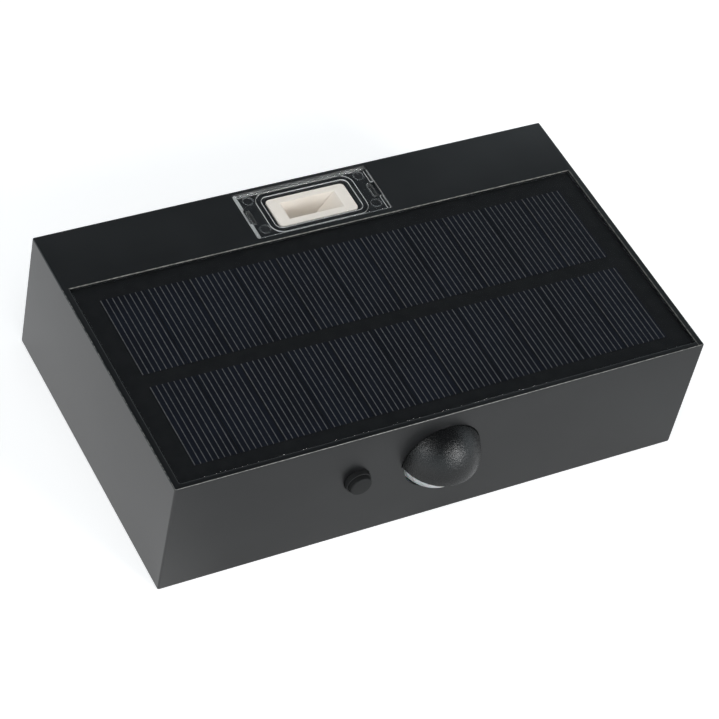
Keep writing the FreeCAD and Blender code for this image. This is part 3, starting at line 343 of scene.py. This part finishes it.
clear_plate = clear_finish("clear polycarbonate", {"Roughness": 0.03, "Base Color": (0.96, 0.97, 0.97, 1)},
                           moulded_clear)
for side, place in ((1, "upper"), (-1, "lower")):
    window = welded_copy(place + "_window", place + "_window_plate", "light", clear_plate)
    lift_foot(window, side * POCKET_FLOOR, side * WINDOW_LIFT)
    round_edges(window, WINDOW_EDGE, angle=40)

# ---- Reflector tubs ------------------------------------------------------------------
# White ABS tubs behind the windows: a flat flange round a deep funnel that throws
# the light of the LEDs out. Moulded with a gloss.
TUB_EDGE = 0.15 * MM
WHITE = (0.86, 0.80, 0.735, 1)
WHITE_AGED = (0.83, 0.765, 0.695, 1)


def glossy_white(point):
    """Warm white with faint clouds."""
    clouds = fade(noise(point, 180, 2), 0.3, 0.7)
    return {"Base Color": blend(clouds, WHITE, WHITE_AGED),
            "Roughness": 0.28 + 0.08 * clouds,
            "Normal": relief(noise(point, 900, 1), 0.003 * MM)}


white_plastic = finish("glossy white ABS", {}, glossy_white)
for place in ("upper", "lower"):
    tub = welded_copy(place + "_reflector", place + "_reflector_tub", "light", white_plastic)
    round_edges(tub, TUB_EDGE, angle=40)

# ---- LED boards and LEDs ---------------------------------------------------------------
# White-coated aluminium strips, each with a row of surface-mounted LEDs whose
# bodies are filled with yellow phosphor.
PHOSPHOR = (0.86, 0.62, 0.10, 1)
LED_BODY = (0.80, 0.80, 0.78, 1)
LED_X = 1.85 * MM
PHOSPHOR_RADIUS = 1.15 * MM


def board_white(point):
    grain = noise(point, 700, 2)
    return {"Base Color": blend(fade(grain, 0.3, 0.7), (0.84, 0.84, 0.82, 1), (0.78, 0.78, 0.76, 1)),
            "Normal": relief(grain, 0.004 * MM)}


def led_bodies(point):
    """White bodies. Each has a round dish of phosphor: x is mirrored, so one middle serves both."""
    low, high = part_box("upper_leds")
    from_x = abs(axis_of(point, 0)) - LED_X
    from_y = axis_of(point, 1) - (low.y + high.y) / 2
    away = from_x.maths("SQRT", from_x * from_x + from_y * from_y)
    dish = 1 - fade(away, PHOSPHOR_RADIUS - WINDOW_EDGE, PHOSPHOR_RADIUS)
    filling = blend(fade(noise(point, 2500), 0.3, 0.7), PHOSPHOR, (0.92, 0.74, 0.28, 1))
    return {"Base Color": blend(dish, LED_BODY, filling),
            "Normal": relief(1 - dish, 0.08 * MM)}


coat_nodes(finish("white solder mask", {"Roughness": 0.4}, board_white), "upper_led_board", "lower_led_board")
coat_nodes(finish("LED bodies", {"Roughness": 0.3}, led_bodies), "upper_leds", "lower_leds")

# ---- Solar panel -------------------------------------------------------------------------
# A black board held by foam tape in the recess. On it are two rows of blue-black
# silicon cells with printed silver fingers, under clear resin poured over them.
CELL_PITCH = 14.69 * MM
CELL_WIDTH = 14.25 * MM
FINGER_PITCH = 1.889 * MM
FINGER_HALF = 0.13 * MM
FINGER_SHIFT = -0.30 * MM
FILM_LIFT = 0.04 * MM
FILM_EDGE = 0.25 * MM
FILM_CORNER = 0.3 * MM


def foam(point):
    cells = point.node("ShaderNodeTexVoronoi", {}, {"Vector": point, "Scale": 2200.0})
    return {"Base Color": blend(fade(cells, 0.2, 0.8), (0.014, 0.014, 0.014, 1), (0.04, 0.04, 0.04, 1)),
            "Normal": relief(cells, 0.05 * MM)}


def laminate(point):
    clouds = noise(point, 260, 3)
    return {"Base Color": blend(fade(clouds, 0.3, 0.7), (0.0075, 0.0080, 0.0085, 1), (0.0105, 0.0110, 0.0115, 1)),
            "Roughness": 0.45 + 0.1 * clouds}


def silicon(point):
    """Cells of 8 and 7 fingers by turns. A finger's mask falls off with the distance to the nearest one."""
    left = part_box("solar_cells")[0].x
    across = (axis_of(point, 0) - left) / CELL_PITCH
    index = across.maths("FLOOR", across)
    odd = index.maths("MODULO", index, 2.0)
    start = FINGER_SHIFT + (CELL_WIDTH - 7 * FINGER_PITCH) / 2 + odd * (FINGER_PITCH / 2)
    along = (axis_of(point, 0) - left - index * CELL_PITCH - start) / FINGER_PITCH
    near = along.maths("MINIMUM", along.maths("ROUND", along), 7 - odd)
    nearest = near.maths("MAXIMUM", near, 0.0)
    away = abs(along - nearest) * FINGER_PITCH
    finger = 1 - fade(away, FINGER_HALF * 0.7, FINGER_HALF * 1.4)
    tone = fade(noise(point, 70, 3), 0.35, 0.65)
    print_tone = fade(noise(point, 900, 2), 0.3, 0.7)
    body = blend(tone, (0.0044, 0.0054, 0.0096, 1), (0.0058, 0.0075, 0.0136, 1))
    silver = blend(print_tone, (0.090, 0.092, 0.094, 1), (0.145, 0.146, 0.147, 1))
    return {"Base Color": blend(finger, body, silver),
            "Roughness": 0.40 + 0.15 * finger,
            "Normal": relief(finger, 0.01 * MM)}


def rounded_rings(half_x, half_y, corner, profile, centre, steps=6):
    """Rings round a rounded rectangle, one for each (inset, z) of the profile. A corner's points lie on
    an arc about the corner's centre, whose radius is the corner less the inset."""
    turn = np.linspace(0, pi / 2, steps + 1)
    angle = (np.arange(4)[:, None] * pi / 2 + turn[None, :]).ravel()
    way_x = np.repeat([1, -1, -1, 1], steps + 1)
    way_y = np.repeat([1, 1, -1, -1], steps + 1)
    inset, z = (np.array(column, float)[:, None] for column in zip(*profile))
    radius = np.maximum(corner - inset, 0.0)
    x = centre[0] + way_x * (half_x - corner + np.minimum(corner - inset, 0.0)) + radius * np.cos(angle)
    y = centre[1] + way_y * (half_y - corner + np.minimum(corner - inset, 0.0)) + radius * np.sin(angle)
    return np.stack([x, y, np.broadcast_to(z, x.shape)], axis=-1)


def skin(rows, closed=True, start_cap=False, end_cap=False):
    """Quads between the points of a grid; columns join up if closed, and a cap fills the first or last row."""
    count, width = rows.shape[:2]
    i = np.arange(count - 1)[:, None]
    j = np.arange(width if closed else width - 1)[None, :]
    k = (j + 1) % width
    quads = np.stack([i * width + j, i * width + k, (i + 1) * width + k, (i + 1) * width + j], axis=-1)
    faces = quads.reshape(-1, 4).tolist()
    if start_cap:
        faces.append(list(range(width))[::-1])
    if end_cap:
        faces.append([(count - 1) * width + j for j in range(width)])
    return rows.reshape(-1, 3), faces


def joined(*surfaces):
    """One list of points and faces from several."""
    points, faces, start = [], [], 0
    for spots, loops in surfaces:
        points.append(spots)
        faces += [[start + corner for corner in loop] for loop in loops]
        start += len(spots)
    return np.concatenate(points), faces


def new_piece(name, surface, body, made, stands_for, smooth_angle=35):
    """A piece from points and faces: doubles merged, faces turned outwards, in the place of CAD nodes."""
    points, faces = surface
    mesh = bpy.data.meshes.new(name)
    mesh.from_pydata(points.tolist(), [], faces)
    shape = bmesh.new()
    shape.from_mesh(mesh)
    bmesh.ops.remove_doubles(shape, verts=shape.verts, dist=WELD)
    bmesh.ops.recalc_face_normals(shape, faces=shape.faces)
    shape.to_mesh(mesh)
    shape.free()
    smooth(mesh, smooth_angle)
    piece = bpy.data.objects.new(name, mesh)
    bpy.context.scene.collection.objects.link(piece)
    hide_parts(*stands_for)
    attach(piece, body)
    return coat(piece, made)


coat_nodes(finish("black foam tape", {"Roughness": 0.9}, foam), "panel_adhesive", "cradle_tape")
coat_nodes(finish("black laminate", {"Specular IOR Level": 0.1}, laminate), "panel_board")
coat_nodes(finish("printed silicon", {"Specular IOR Level": 0.1}, silicon), "solar_cells")


def resin_finish():
    """Clear skin over the panel, with long faint waves: gloss by Fresnel over a Transparent shader, on its
    outer side only."""
    made = finish("clear resin", {})
    tree = made.node_tree
    tree.nodes.remove(tree.nodes["Principled BSDF"])
    point = Wire(tree, tree.nodes.new("ShaderNodeTexCoord").outputs["Object"])
    wave = relief(noise(point, 60, 2), 0.03 * MM)
    fresnel = point.node("ShaderNodeFresnel", {}, {"IOR": 1.5})
    inside = point.node("ShaderNodeNewGeometry", {}, {}, out="Backfacing")
    clear = point.node("ShaderNodeBsdfTransparent", {}, {"Color": (0.97, 0.97, 0.97, 1)})
    gloss = point.node("ShaderNodeBsdfGlossy", {}, {"Color": (1, 1, 1, 1), "Roughness": 0.12, "Normal": wave})
    mixed = point.node("ShaderNodeMixShader", {}, {0: fresnel * (1 - inside), 1: clear, 2: gloss})
    tree.links.new(mixed.socket, tree.nodes["Material Output"].inputs["Surface"])
    return made


film_low, film_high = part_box("panel_film")
cells_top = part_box("solar_cells")[1].z
film_half = (film_high - film_low) / 2
film_centre = (film_high + film_low) / 2
film_profile = [(0, cells_top + FILM_LIFT)]
for share in np.linspace(0, 1, 5):
    turn = share * pi / 2
    film_profile.append((FILM_EDGE * (1 - cos(turn)), film_high.z - FILM_EDGE * (1 - sin(turn))))
film_profile.append((FILM_EDGE + 0.05 * MM, film_high.z))
film_rings = rounded_rings(film_half.x, film_half.y, FILM_CORNER, film_profile, film_centre)
new_piece("panel_resin", skin(film_rings, start_cap=True, end_cap=True), "light", resin_finish(),
          ["panel_film"], smooth_angle=50)

# ---- Motion sensor -------------------------------------------------------------------------
# An eyelid of black plastic, a quarter of a thin ball, shields a milky domed lens.
# Both have square flanges behind the wall. The lens gathers heat on the metal-canned
# detector on the main board.
FRONT_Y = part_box("housing")[0].y
WALL = 2.2 * MM
SENSOR_Z = 3.6 * MM
LENS_Z = 3.2 * MM
HOOD_RADIUS = 13.4 * MM
HOOD_WALL = 1.0 * MM
HOOD_SET_BACK = 2.5 * MM
HOOD_SLOPE = 0.10
LENS_RADIUS = 11.9 * MM
LENS_DOME = 11.3 * MM
LENS_HEIGHT = 8.2 * MM
LENS_STEP = 1.5 * MM
LENS_WALL = 0.8 * MM
SENSOR_FLANGE = 0.8 * MM
HOOD_BORE = 12.35 * MM


def spark_grain(point):
    """Coarse spark-eroded grain that breaks a highlight into sparks."""
    grain = noise(point, 3000, 2)
    return {"Base Color": blend(fade(grain, 0.4, 0.7), (0.0042, 0.0044, 0.0045, 1), (0.0070, 0.0070, 0.0072, 1)),
            "Roughness": 0.20 + 0.12 * fade(grain, 0.35, 0.65),
            "Normal": relief(grain, 0.115 * MM)}


def eyelid(rows=40, columns=73):
    """Part of a ball above a plane that falls away from the wall by the slope, then a straight part
    through the wall. Rows run from the tip to the inside of the wall. A row is an arc about the ball's
    axis, from the plane on one side over the top to the plane on the other."""
    centre_y = FRONT_Y + HOOD_SET_BACK
    rim = acos(HOOD_SET_BACK / HOOD_RADIUS)
    polar = np.linspace(0.0, rim, rows)
    y = np.concatenate([centre_y - HOOD_RADIUS * np.cos(polar), FRONT_Y + np.linspace(0.25, 1, 4) * WALL])
    ring = np.concatenate([HOOD_RADIUS * np.sin(polar), np.full(4, HOOD_RADIUS * sin(rim))])
    drop = np.minimum(np.maximum(FRONT_Y - y, 0) * HOOD_SLOPE, np.maximum(ring, 1e-9))
    start = -np.arcsin(drop / np.maximum(ring, 1e-9))
    share = np.linspace(0, 1, columns)[None, :]
    angle = start[:, None] + share * (pi - 2 * start[:, None])
    x = ring[:, None] * np.cos(angle)
    z = SENSOR_Z + ring[:, None] * np.sin(angle)
    return np.stack([x, np.broadcast_to(y[:, None], x.shape), z], axis=-1)


grained_black = finish("grained black plastic", {"IOR": 1.5}, spark_grain)
hood = new_piece("eyelid_hood", skin(eyelid(), closed=False), "light", grained_black,
                 ["sensor_hood"], smooth_angle=180)
wall = hood.modifiers.new("wall", "SOLIDIFY")
wall.thickness = HOOD_WALL
wall.offset = -1
round_edges(hood, 0.2 * MM, segments=3, angle=50)


def turned(profile, x, z, count=96):
    """A profile of (radius, y) points carried round the line along Y through x and z."""
    radius, y = (np.array(column, float)[:, None] for column in zip(*profile))
    angle = np.linspace(0, 2 * pi, count, endpoint=False)[None, :]
    spots = [x + radius * np.cos(angle), np.broadcast_to(y, (len(profile), count)), z + radius * np.sin(angle)]
    return np.stack(spots, axis=-1)


def squared(half, y, z, count=96):
    """A square ring with the turned rings' count of points: each direction's (cos, sin), divided by the
    larger of the two sizes, lies on the square."""
    angle = np.linspace(0, 2 * pi, count, endpoint=False)
    way = np.stack([np.cos(angle), np.zeros(count), np.sin(angle)], axis=-1)
    return half * way / np.abs(way).max(axis=-1, keepdims=True) + np.array([0, y, z])


def arc(centre, radius, start, end, steps):
    """Points (radius, y) on an arc; angles count from the outward direction towards -Y."""
    return [(centre[0] + radius * cos(a), centre[1] - radius * sin(a)) for a in np.linspace(start, end, steps)]


def milky(point):
    """Thin milky plastic with the faint rings of the lens's steps: lines where the distance from the
    lens's axis, in steps, is near a whole number."""
    up = axis_of(point, 2) - LENS_Z
    across = axis_of(point, 0)
    away = up.maths("SQRT", up * up + across * across) / LENS_STEP
    ring = 1 - fade(abs(away - away.maths("ROUND", away)), 0.05, 0.16)
    return {"Base Color": blend(ring, (0.62, 0.625, 0.625, 1), (0.44, 0.445, 0.45, 1)),
            "Normal": relief(ring, 0.02 * MM)}


ball = (LENS_DOME ** 2 + LENS_HEIGHT ** 2) / (2 * LENS_HEIGHT)
ball_y = FRONT_Y - LENS_HEIGHT + ball
lens_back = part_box("sensor_lens")[1].y
shoulder_y = FRONT_Y + 1.5 * MM
rim_angle = acos(LENS_DOME / ball)
lens_front = arc((0, ball_y), ball, pi / 2, rim_angle, 24)
lens_front += [(LENS_DOME, shoulder_y), (LENS_RADIUS, shoulder_y), (LENS_RADIUS, lens_back - SENSOR_FLANGE)]
inner_rim = acos((LENS_DOME - LENS_WALL) / (ball - LENS_WALL))
lens_inside = [(LENS_DOME - LENS_WALL, lens_back)] + arc((0, ball_y), ball - LENS_WALL, inner_rim, pi / 2, 20)
lens_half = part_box("sensor_lens")[1].x
lens_flange = [squared(lens_half, y, LENS_Z) for y in (lens_back - SENSOR_FLANGE, lens_back)]
lens_rows = np.concatenate([turned(lens_front, 0, LENS_Z), lens_flange, turned(lens_inside, 0, LENS_Z)])
new_piece("sensor_lens_dome", skin(lens_rows), "light",
          finish("milky plastic", {"Roughness": 0.35, "Subsurface Weight": 0.2, "Subsurface Scale": 1 * MM}, milky),
          ["sensor_lens"], smooth_angle=40)
hood_half, flange_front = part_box("sensor_hood")[1].x, FRONT_Y + WALL
flange_ends = (flange_front, flange_front + SENSOR_FLANGE)
flange_bore = turned([(HOOD_BORE, y) for y in flange_ends[::-1]], 0, (SENSOR_Z + LENS_Z) / 2)
flange_rows = [squared(hood_half, y, SENSOR_Z) for y in flange_ends]
new_piece("hood_flange", skin(np.concatenate([flange_rows, flange_bore, flange_rows[:1]])), "light", grained_black,
          ["sensor_hood"])


def brushed_metal(low, high, scale):
    """Metal whose fine marks change its tone and gloss."""
    def paint(point):
        marks = noise(point, scale, 3)
        return {"Base Color": blend(fade(marks, 0.3, 0.7), low, high),
                "Roughness": 0.25 + 0.2 * marks,
                "Normal": relief(marks, 0.004 * MM)}
    return paint


coat_nodes(finish("nickel-plated can", {"Metallic": 1.0},
                  brushed_metal((0.60, 0.59, 0.56, 1), (0.70, 0.69, 0.66, 1), 1500)), "motion_sensor")

# ---- Push button ------------------------------------------------------------------------------
# A rubber-covered cap slides in a collar that is held behind the wall, and pushes the
# plunger of a small switch on the main board.
BUTTON_X = -28.4 * MM
CAP_FLANGE = 0.8 * MM


def matt_rubber(point):
    grain = noise(point, 2600, 2)
    return {"Base Color": blend(fade(grain, 0.35, 0.65), (0.0045, 0.0047, 0.0048, 1), (0.0072, 0.0074, 0.0075, 1)),
            "Roughness": 0.62 + 0.1 * grain,
            "Normal": relief(grain, 0.01 * MM)}


rubber = finish("matt rubber", {"Specular IOR Level": 0.4}, matt_rubber)
cap_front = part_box("button_cap")[0].y
cap_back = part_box("button_cap")[1].y
collar_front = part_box("button_collar")[0].y
collar_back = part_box("button_collar")[1].y
wall_inside = FRONT_Y + WALL
cap_profile = [(0.0, cap_front)]
cap_profile += arc((3.0 * MM, cap_front + 0.5 * MM), 0.5 * MM, pi / 2, 0, 7)
cap_profile += [(3.5 * MM, collar_back), (4.6 * MM, collar_back), (4.6 * MM, collar_back + CAP_FLANGE),
                (1.7 * MM, collar_back + CAP_FLANGE), (1.7 * MM, cap_back), (0.0, cap_back)]
new_piece("button_cap_rubber", skin(turned(cap_profile, BUTTON_X, SENSOR_Z)), "button", rubber,
          ["button_cap"], smooth_angle=40)
collar_profile = [(3.56 * MM, collar_back), (3.56 * MM, collar_front + 0.2 * MM)]
collar_profile += arc((3.76 * MM, collar_front + 0.2 * MM), 0.2 * MM, pi, pi / 2, 4)
collar_profile += arc((3.85 * MM, collar_front + 0.25 * MM), 0.25 * MM, pi / 2, 0, 5)
collar_profile += [(4.1 * MM, wall_inside), (5.4 * MM, wall_inside), (5.4 * MM, collar_back), (3.56 * MM, collar_back)]
new_piece("button_collar_ring", skin(turned(collar_profile, BUTTON_X, SENSOR_Z)), "light", rubber,
          ["button_collar"], smooth_angle=40)


def inner_black(point):
    grain = noise(point, 1500, 2)
    return {"Base Color": blend(fade(grain, 0.3, 0.7), (0.018, 0.018, 0.018, 1), (0.03, 0.03, 0.03, 1)),
            "Roughness": 0.45 + 0.15 * grain,
            "Normal": relief(grain, 0.01 * MM)}


inner_plastic = finish("black moulded parts", {}, inner_black)
coat_nodes(inner_plastic, "switch_body", "switch_plunger", "lens_retainer", "battery_cradle")

# ---- Main board ---------------------------------------------------------------------------------
# A green circuit board screwed to two posts behind the front wall. It carries the
# detector, the switch, the charging parts and a row of lead sockets.
TRACK_PITCH = 1.27 * MM


def green_mask(point):
    """Upright tracks on a grid, broken up by clouds, under a green mask: a track is where the distance
    from the nearest grid line, in pitches, is small."""
    across = axis_of(point, 0) / TRACK_PITCH
    track = (1 - fade(abs(across - across.maths("ROUND", across)), 0.14, 0.2)) * fade(noise(point, 110, 0), 0.5, 0.52)
    return {"Base Color": blend(track, (0.012, 0.105, 0.036, 1), (0.03, 0.20, 0.075, 1)),
            "Roughness": 0.34 + 0.1 * noise(point, 800, 2),
            "Normal": relief(track, 0.03 * MM)}


def component_cases(point):
    """A capacitor in a blue sleeve at the left, a grey inductor at the right and black chips between."""
    low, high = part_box("board_components")
    x = axis_of(point, 0)
    left = 1 - fade(x, low.x + 7 * MM, low.x + 8 * MM)
    right = fade(x, high.x - 9 * MM, high.x - 8.5 * MM)
    grain = noise(point, 1500, 2)
    cases = blend(left, (0.018, 0.018, 0.018, 1), (0.012, 0.03, 0.12, 1))
    return {"Base Color": blend(right, cases, (0.06, 0.058, 0.055, 1)),
            "Roughness": 0.4 + 0.2 * grain,
            "Normal": relief(grain, 0.01 * MM)}


def nylon(point):
    grain = noise(point, 1200, 2)
    return {"Base Color": blend(fade(grain, 0.3, 0.7), (0.80, 0.78, 0.71, 1), (0.72, 0.70, 0.62, 1)),
            "Normal": relief(grain, 0.01 * MM)}


coat_nodes(finish("green solder mask", {}, green_mask), "main_board")
coat_nodes(finish("natural nylon", {"Roughness": 0.45}, nylon), "lead_connectors")
coat_nodes(finish("component cases", {}, component_cases), "board_components")
steel = finish("zinc-plated steel", {"Metallic": 1.0},
               brushed_metal((0.46, 0.46, 0.45, 1), (0.60, 0.60, 0.58, 1), 1100))
coat_nodes(steel, "board_screws")

# ---- Battery ----------------------------------------------------------------------------------------
# A lithium cell in plain blue shrink wrap, snapped into a black cradle that is taped
# to the housing's floor, with a nickel leaf at each end.
BARE_END = 7.2 * MM
BARE_FOLD = 1.2 * MM


def shrink_wrap(point):
    """Blue film that folds over both ends and leaves their steel middles bare: bare is where the point
    lies past the body's half length less the fold, or past it and near the axis."""
    low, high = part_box("battery_cell")
    middle = (low + high) / 2
    up, back = axis_of(point, 2) - middle.z, axis_of(point, 1) - middle.y
    away = up.maths("SQRT", up * up + back * back)
    fold = (high.x - low.x) / 2 - BARE_FOLD
    at_end = fade(abs(axis_of(point, 0) - middle.x), fold - 0.1 * MM, fold)
    bare = at_end * (1 - fade(away, BARE_END - WELD, BARE_END))
    ripple = noise(point, 160, 2)
    film_tone = blend(fade(ripple, 0.3, 0.7), (0.02, 0.10, 0.34, 1), (0.03, 0.14, 0.42, 1))
    return {"Base Color": blend(bare, film_tone, (0.62, 0.61, 0.58, 1)),
            "Metallic": bare,
            "Roughness": 0.22 + 0.15 * ripple,
            "Normal": relief(ripple, 0.05 * MM)}


coat_nodes(finish("blue shrink wrap", {}, shrink_wrap), "battery_cell")
coat_nodes(finish("nickel strip", {"Metallic": 1.0},
                  brushed_metal((0.58, 0.57, 0.52, 1), (0.68, 0.67, 0.62, 1), 900)), "battery_contacts")

# ---- Leads inside the housing -------------------------------------------------------------------------
# Flat two-core leads from the cell, the panel and both LED boards to their sockets:
# one core is red and the other black.
CORE_GROOVE = 0.08 * MM


def two_core(middle):
    """Paint of a flat lead whose cores lie side by side along X: a groove parts red from black."""
    def paint(point):
        across = axis_of(point, 0) - middle
        grain = noise(point, 1400, 2)
        red = blend(fade(grain, 0.3, 0.7), (0.28, 0.015, 0.012, 1), (0.34, 0.025, 0.02, 1))
        return {"Base Color": blend(fade(across, -CORE_GROOVE, CORE_GROOVE), red, (0.012, 0.012, 0.012, 1)),
                "Roughness": 0.4 + 0.15 * grain,
                "Normal": relief(fade(abs(across), 0.0, 6 * CORE_GROOVE), 0.3 * MM)}
    return paint


for lead in ("battery_leads", "panel_leads", "upper_led_leads", "lower_led_leads"):
    lead_low, lead_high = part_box(lead)
    coat_nodes(finish(lead + " insulation", {}, two_core((lead_low.x + lead_high.x) / 2)), lead)

# ---- Back cover, seal and screws ----------------------------------------------------------------------
# The inset plate that closes the back: black ABS with two keyholes to hang the
# light by, a rubber ring pressed round its skirt and four cross-recessed screws.
HEAD_RADIUS = 2.79 * MM
HEAD_HEIGHT = 1.8 * MM
CROWN = 0.5 * MM
ARM_HALF = 0.38 * MM
ARM_REACH = 1.55 * MM
CROSS_DEPTH = 0.8 * MM
SHANK_RADIUS = 1.48 * MM
CORE_RADIUS = 1.15 * MM
THREAD_PITCH = 0.9 * MM


def cover_black(point):
    slow = noise(point, 50, 3)
    return {"Base Color": blend(fade(slow, 0.35, 0.65), (0.010, 0.0102, 0.0106, 1), (0.0145, 0.0148, 0.0152, 1)),
            "Roughness": 0.48 + 0.1 * slow,
            "Normal": relief(noise(point, 2400, 1), 0.006 * MM)}


cover = welded_copy("back_cover", "back_cover_plate", "light", finish("matt black ABS", {"IOR": 1.5}, cover_black))
mark_rims(cover, *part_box("back_cover"))
round_edges(cover, 0.3 * MM)
coat_nodes(rubber, "back_gasket")


def cross_screw(x, z, tip, top):
    """A pan-head screw along Y. Its head's top falls towards the rim as (radius / head radius)^4 and is cut
    by a cross, whose depth grows where |u| or |v| is under half an arm's width; its shank is ridged."""
    rings = np.linspace(0, HEAD_RADIUS, 30)
    head = turned([(radius, 0.0) for radius in rings], 0, 0)
    u, v = np.abs(head[..., 0]), np.abs(head[..., 2])
    in_arm = (np.minimum(u, v) < ARM_HALF) & (np.maximum(u, v) < ARM_REACH)
    head[..., 1] = top - CROWN * (np.hypot(u, v) / HEAD_RADIUS) ** 4 - CROSS_DEPTH * in_arm
    side = turned([(HEAD_RADIUS, top - HEAD_HEIGHT), (CORE_RADIUS, top - HEAD_HEIGHT)], 0, 0)
    ridges = int((top - HEAD_HEIGHT - tip) / THREAD_PITCH)
    shank = []
    for turn in range(ridges):
        level = top - HEAD_HEIGHT - turn * THREAD_PITCH
        shank += [(CORE_RADIUS, level - 0.2 * THREAD_PITCH), (SHANK_RADIUS, level - 0.5 * THREAD_PITCH),
                  (CORE_RADIUS, level - 0.8 * THREAD_PITCH)]
    rows = np.concatenate([head, side, turned(shank + [(0.4 * CORE_RADIUS, tip), (0.0, tip)], 0, 0)])
    return skin(rows + np.array([x, 0, z]))


screws_low, screws_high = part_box("cover_screws")
screw_x, screw_z = screws_high.x - HEAD_RADIUS, screws_high.z - HEAD_RADIUS
new_piece("cover_screws_cross_head", joined(*(cross_screw(x, z, screws_low.y, screws_high.y)
                                              for x in (-screw_x, screw_x) for z in (-screw_z, screw_z))),
          "light", steel, ["cover_screws"])

# ---- Stage: floor, sky, lamps and camera -------------------------------------------------------------
# A white floor under the light and a white room round it, with large soft lamps at
# the front right and at the left.
FLOOR_Z = -22.85 * MM
FLOOR_REACH = 4.0
FLOOR_GLOW = 0.55
MIRRORED_GLOW = 0.12
LEFT_GLOW = 0.45
SKY_LOW = (0.85, 0.95, 1.0, 1)
SKY_HIGH = (0.035, 0.040, 0.048, 1)
SKY_FADE = (radians(26), radians(42))
TARGET = Vector((-1.28, -56.50, -3.66)) * MM
DISTANCE = 847.0 * MM
AZIMUTH = radians(36.776)
ELEVATION = radians(45.832)
ROLL = radians(13.511)
LENS_LENGTH = 136.19
KEY_WAY = Vector((0.384, -0.803, 0.456))
FILL_WAY = Vector((-0.786, -0.251, 0.566))
TOP_WAY = Vector((-0.25, -0.35, 0.90))
LAMP_DISTANCE = 1.3


def stage_floor():
    """A round floor, seen from above only. A glow lifts it to white for the camera, and in reflections it
    glows a little, more so at the left."""
    around = np.linspace(0, 2 * pi, 96, endpoint=False)
    ring = np.stack([FLOOR_REACH * np.cos(around), FLOOR_REACH * np.sin(around), np.full(96, FLOOR_Z)], axis=-1)
    mesh = bpy.data.meshes.new("floor")
    mesh.from_pydata(ring.tolist(), [], [list(range(96))])
    made = bpy.data.materials.new("white floor")
    made.use_nodes = True
    tree = made.node_tree
    tree.nodes.remove(tree.nodes["Principled BSDF"])
    path = tree.nodes.new("ShaderNodeLightPath")
    camera_ray, glossy_ray, clear_ray = (Wire(tree, path.outputs[name]) for name in
                                         ("Is Camera Ray", "Is Glossy Ray", "Is Transmission Ray"))
    matt = camera_ray.node("ShaderNodeBsdfDiffuse", {}, {"Color": (0.8, 0.8, 0.8, 1)})
    place = Wire(tree, tree.nodes.new("ShaderNodeTexCoord").outputs["Object"])
    leftwards = fade(axis_of(place, 0), -60 * MM, -100 * MM)
    mirrored = (glossy_ray + clear_ray) * (MIRRORED_GLOW + LEFT_GLOW * leftwards)
    glow = camera_ray.node("ShaderNodeEmission", {}, {"Strength": camera_ray * FLOOR_GLOW + mirrored})
    both = camera_ray.node("ShaderNodeAddShader", {}, {0: matt, 1: glow})
    under = camera_ray.node("ShaderNodeNewGeometry", {}, {}, out="Backfacing")
    clear = camera_ray.node("ShaderNodeBsdfTransparent", {}, {})
    sided = camera_ray.node("ShaderNodeMixShader", {}, {0: under, 1: both, 2: clear})
    tree.links.new(sided.socket, tree.nodes["Material Output"].inputs["Surface"])
    floor = bpy.data.objects.new("floor", mesh)
    bpy.context.scene.collection.objects.link(floor)
    coat(floor, made)


def studio_sky():
    """White near the horizon and dark overhead; the camera sees plain white."""
    world = bpy.data.worlds.new("studio")
    world.use_nodes = True
    bpy.context.scene.world = world
    tree = world.node_tree
    way = Wire(tree, tree.nodes.new("ShaderNodeTexCoord").outputs["Generated"])
    height = axis_of(way, 2)
    sky = blend(fade(height, sin(SKY_FADE[0]), sin(SKY_FADE[1])), SKY_LOW, SKY_HIGH)
    around = way.node("ShaderNodeBackground", {}, {"Color": sky, "Strength": 1.0})
    white = way.node("ShaderNodeBackground", {}, {"Color": (1, 1, 1, 1), "Strength": 1.0})
    seen = way.node("ShaderNodeLightPath", {}, {}, out="Is Camera Ray")
    mixed = way.node("ShaderNodeMixShader", {}, {0: seen, 1: around, 2: white})
    tree.links.new(mixed.socket, tree.nodes["World Output"].inputs["Surface"])


def softbox(name, way, size, power, in_gloss=True):
    """A square lamp in that direction from the target, turned to face it."""
    lamp = bpy.data.lights.new(name, "AREA")
    lamp.shape = "SQUARE"
    lamp.size = size
    lamp.energy = power
    holder = bpy.data.objects.new(name, lamp)
    bpy.context.scene.collection.objects.link(holder)
    holder.location = TARGET + way.normalized() * LAMP_DISTANCE
    holder.rotation_euler = (-way).to_track_quat("-Z", "Y").to_euler()
    holder.visible_glossy = in_gloss


def place_camera():
    """Looks at the target from the azimuth and elevation, with the roll about the line of sight."""
    forward = Vector((sin(AZIMUTH) * cos(ELEVATION), cos(AZIMUTH) * cos(ELEVATION), -sin(ELEVATION)))
    level = Vector((cos(AZIMUTH), -sin(AZIMUTH), 0))
    upright = level.cross(forward)
    right = level * cos(ROLL) + upright * sin(ROLL)
    up = upright * cos(ROLL) - level * sin(ROLL)
    data = bpy.data.cameras.new("camera")
    data.lens = LENS_LENGTH
    data.clip_start = 0.05
    data.clip_end = 50
    camera = bpy.data.objects.new("camera", data)
    bpy.context.scene.collection.objects.link(camera)
    turn = Matrix((right, up, -forward)).transposed().to_4x4()
    camera.matrix_world = Matrix.Translation(TARGET - forward * DISTANCE) @ turn
    bpy.context.scene.camera = camera


stage_floor()
studio_sky()
softbox("key lamp", KEY_WAY, size=0.45, power=7.0)
softbox("fill lamp", FILL_WAY, size=0.35, power=2.5)
softbox("top lamp", TOP_WAY, size=0.9, power=5.0, in_gloss=False)
place_camera()
bpy.context.scene.view_settings.view_transform = "Standard"
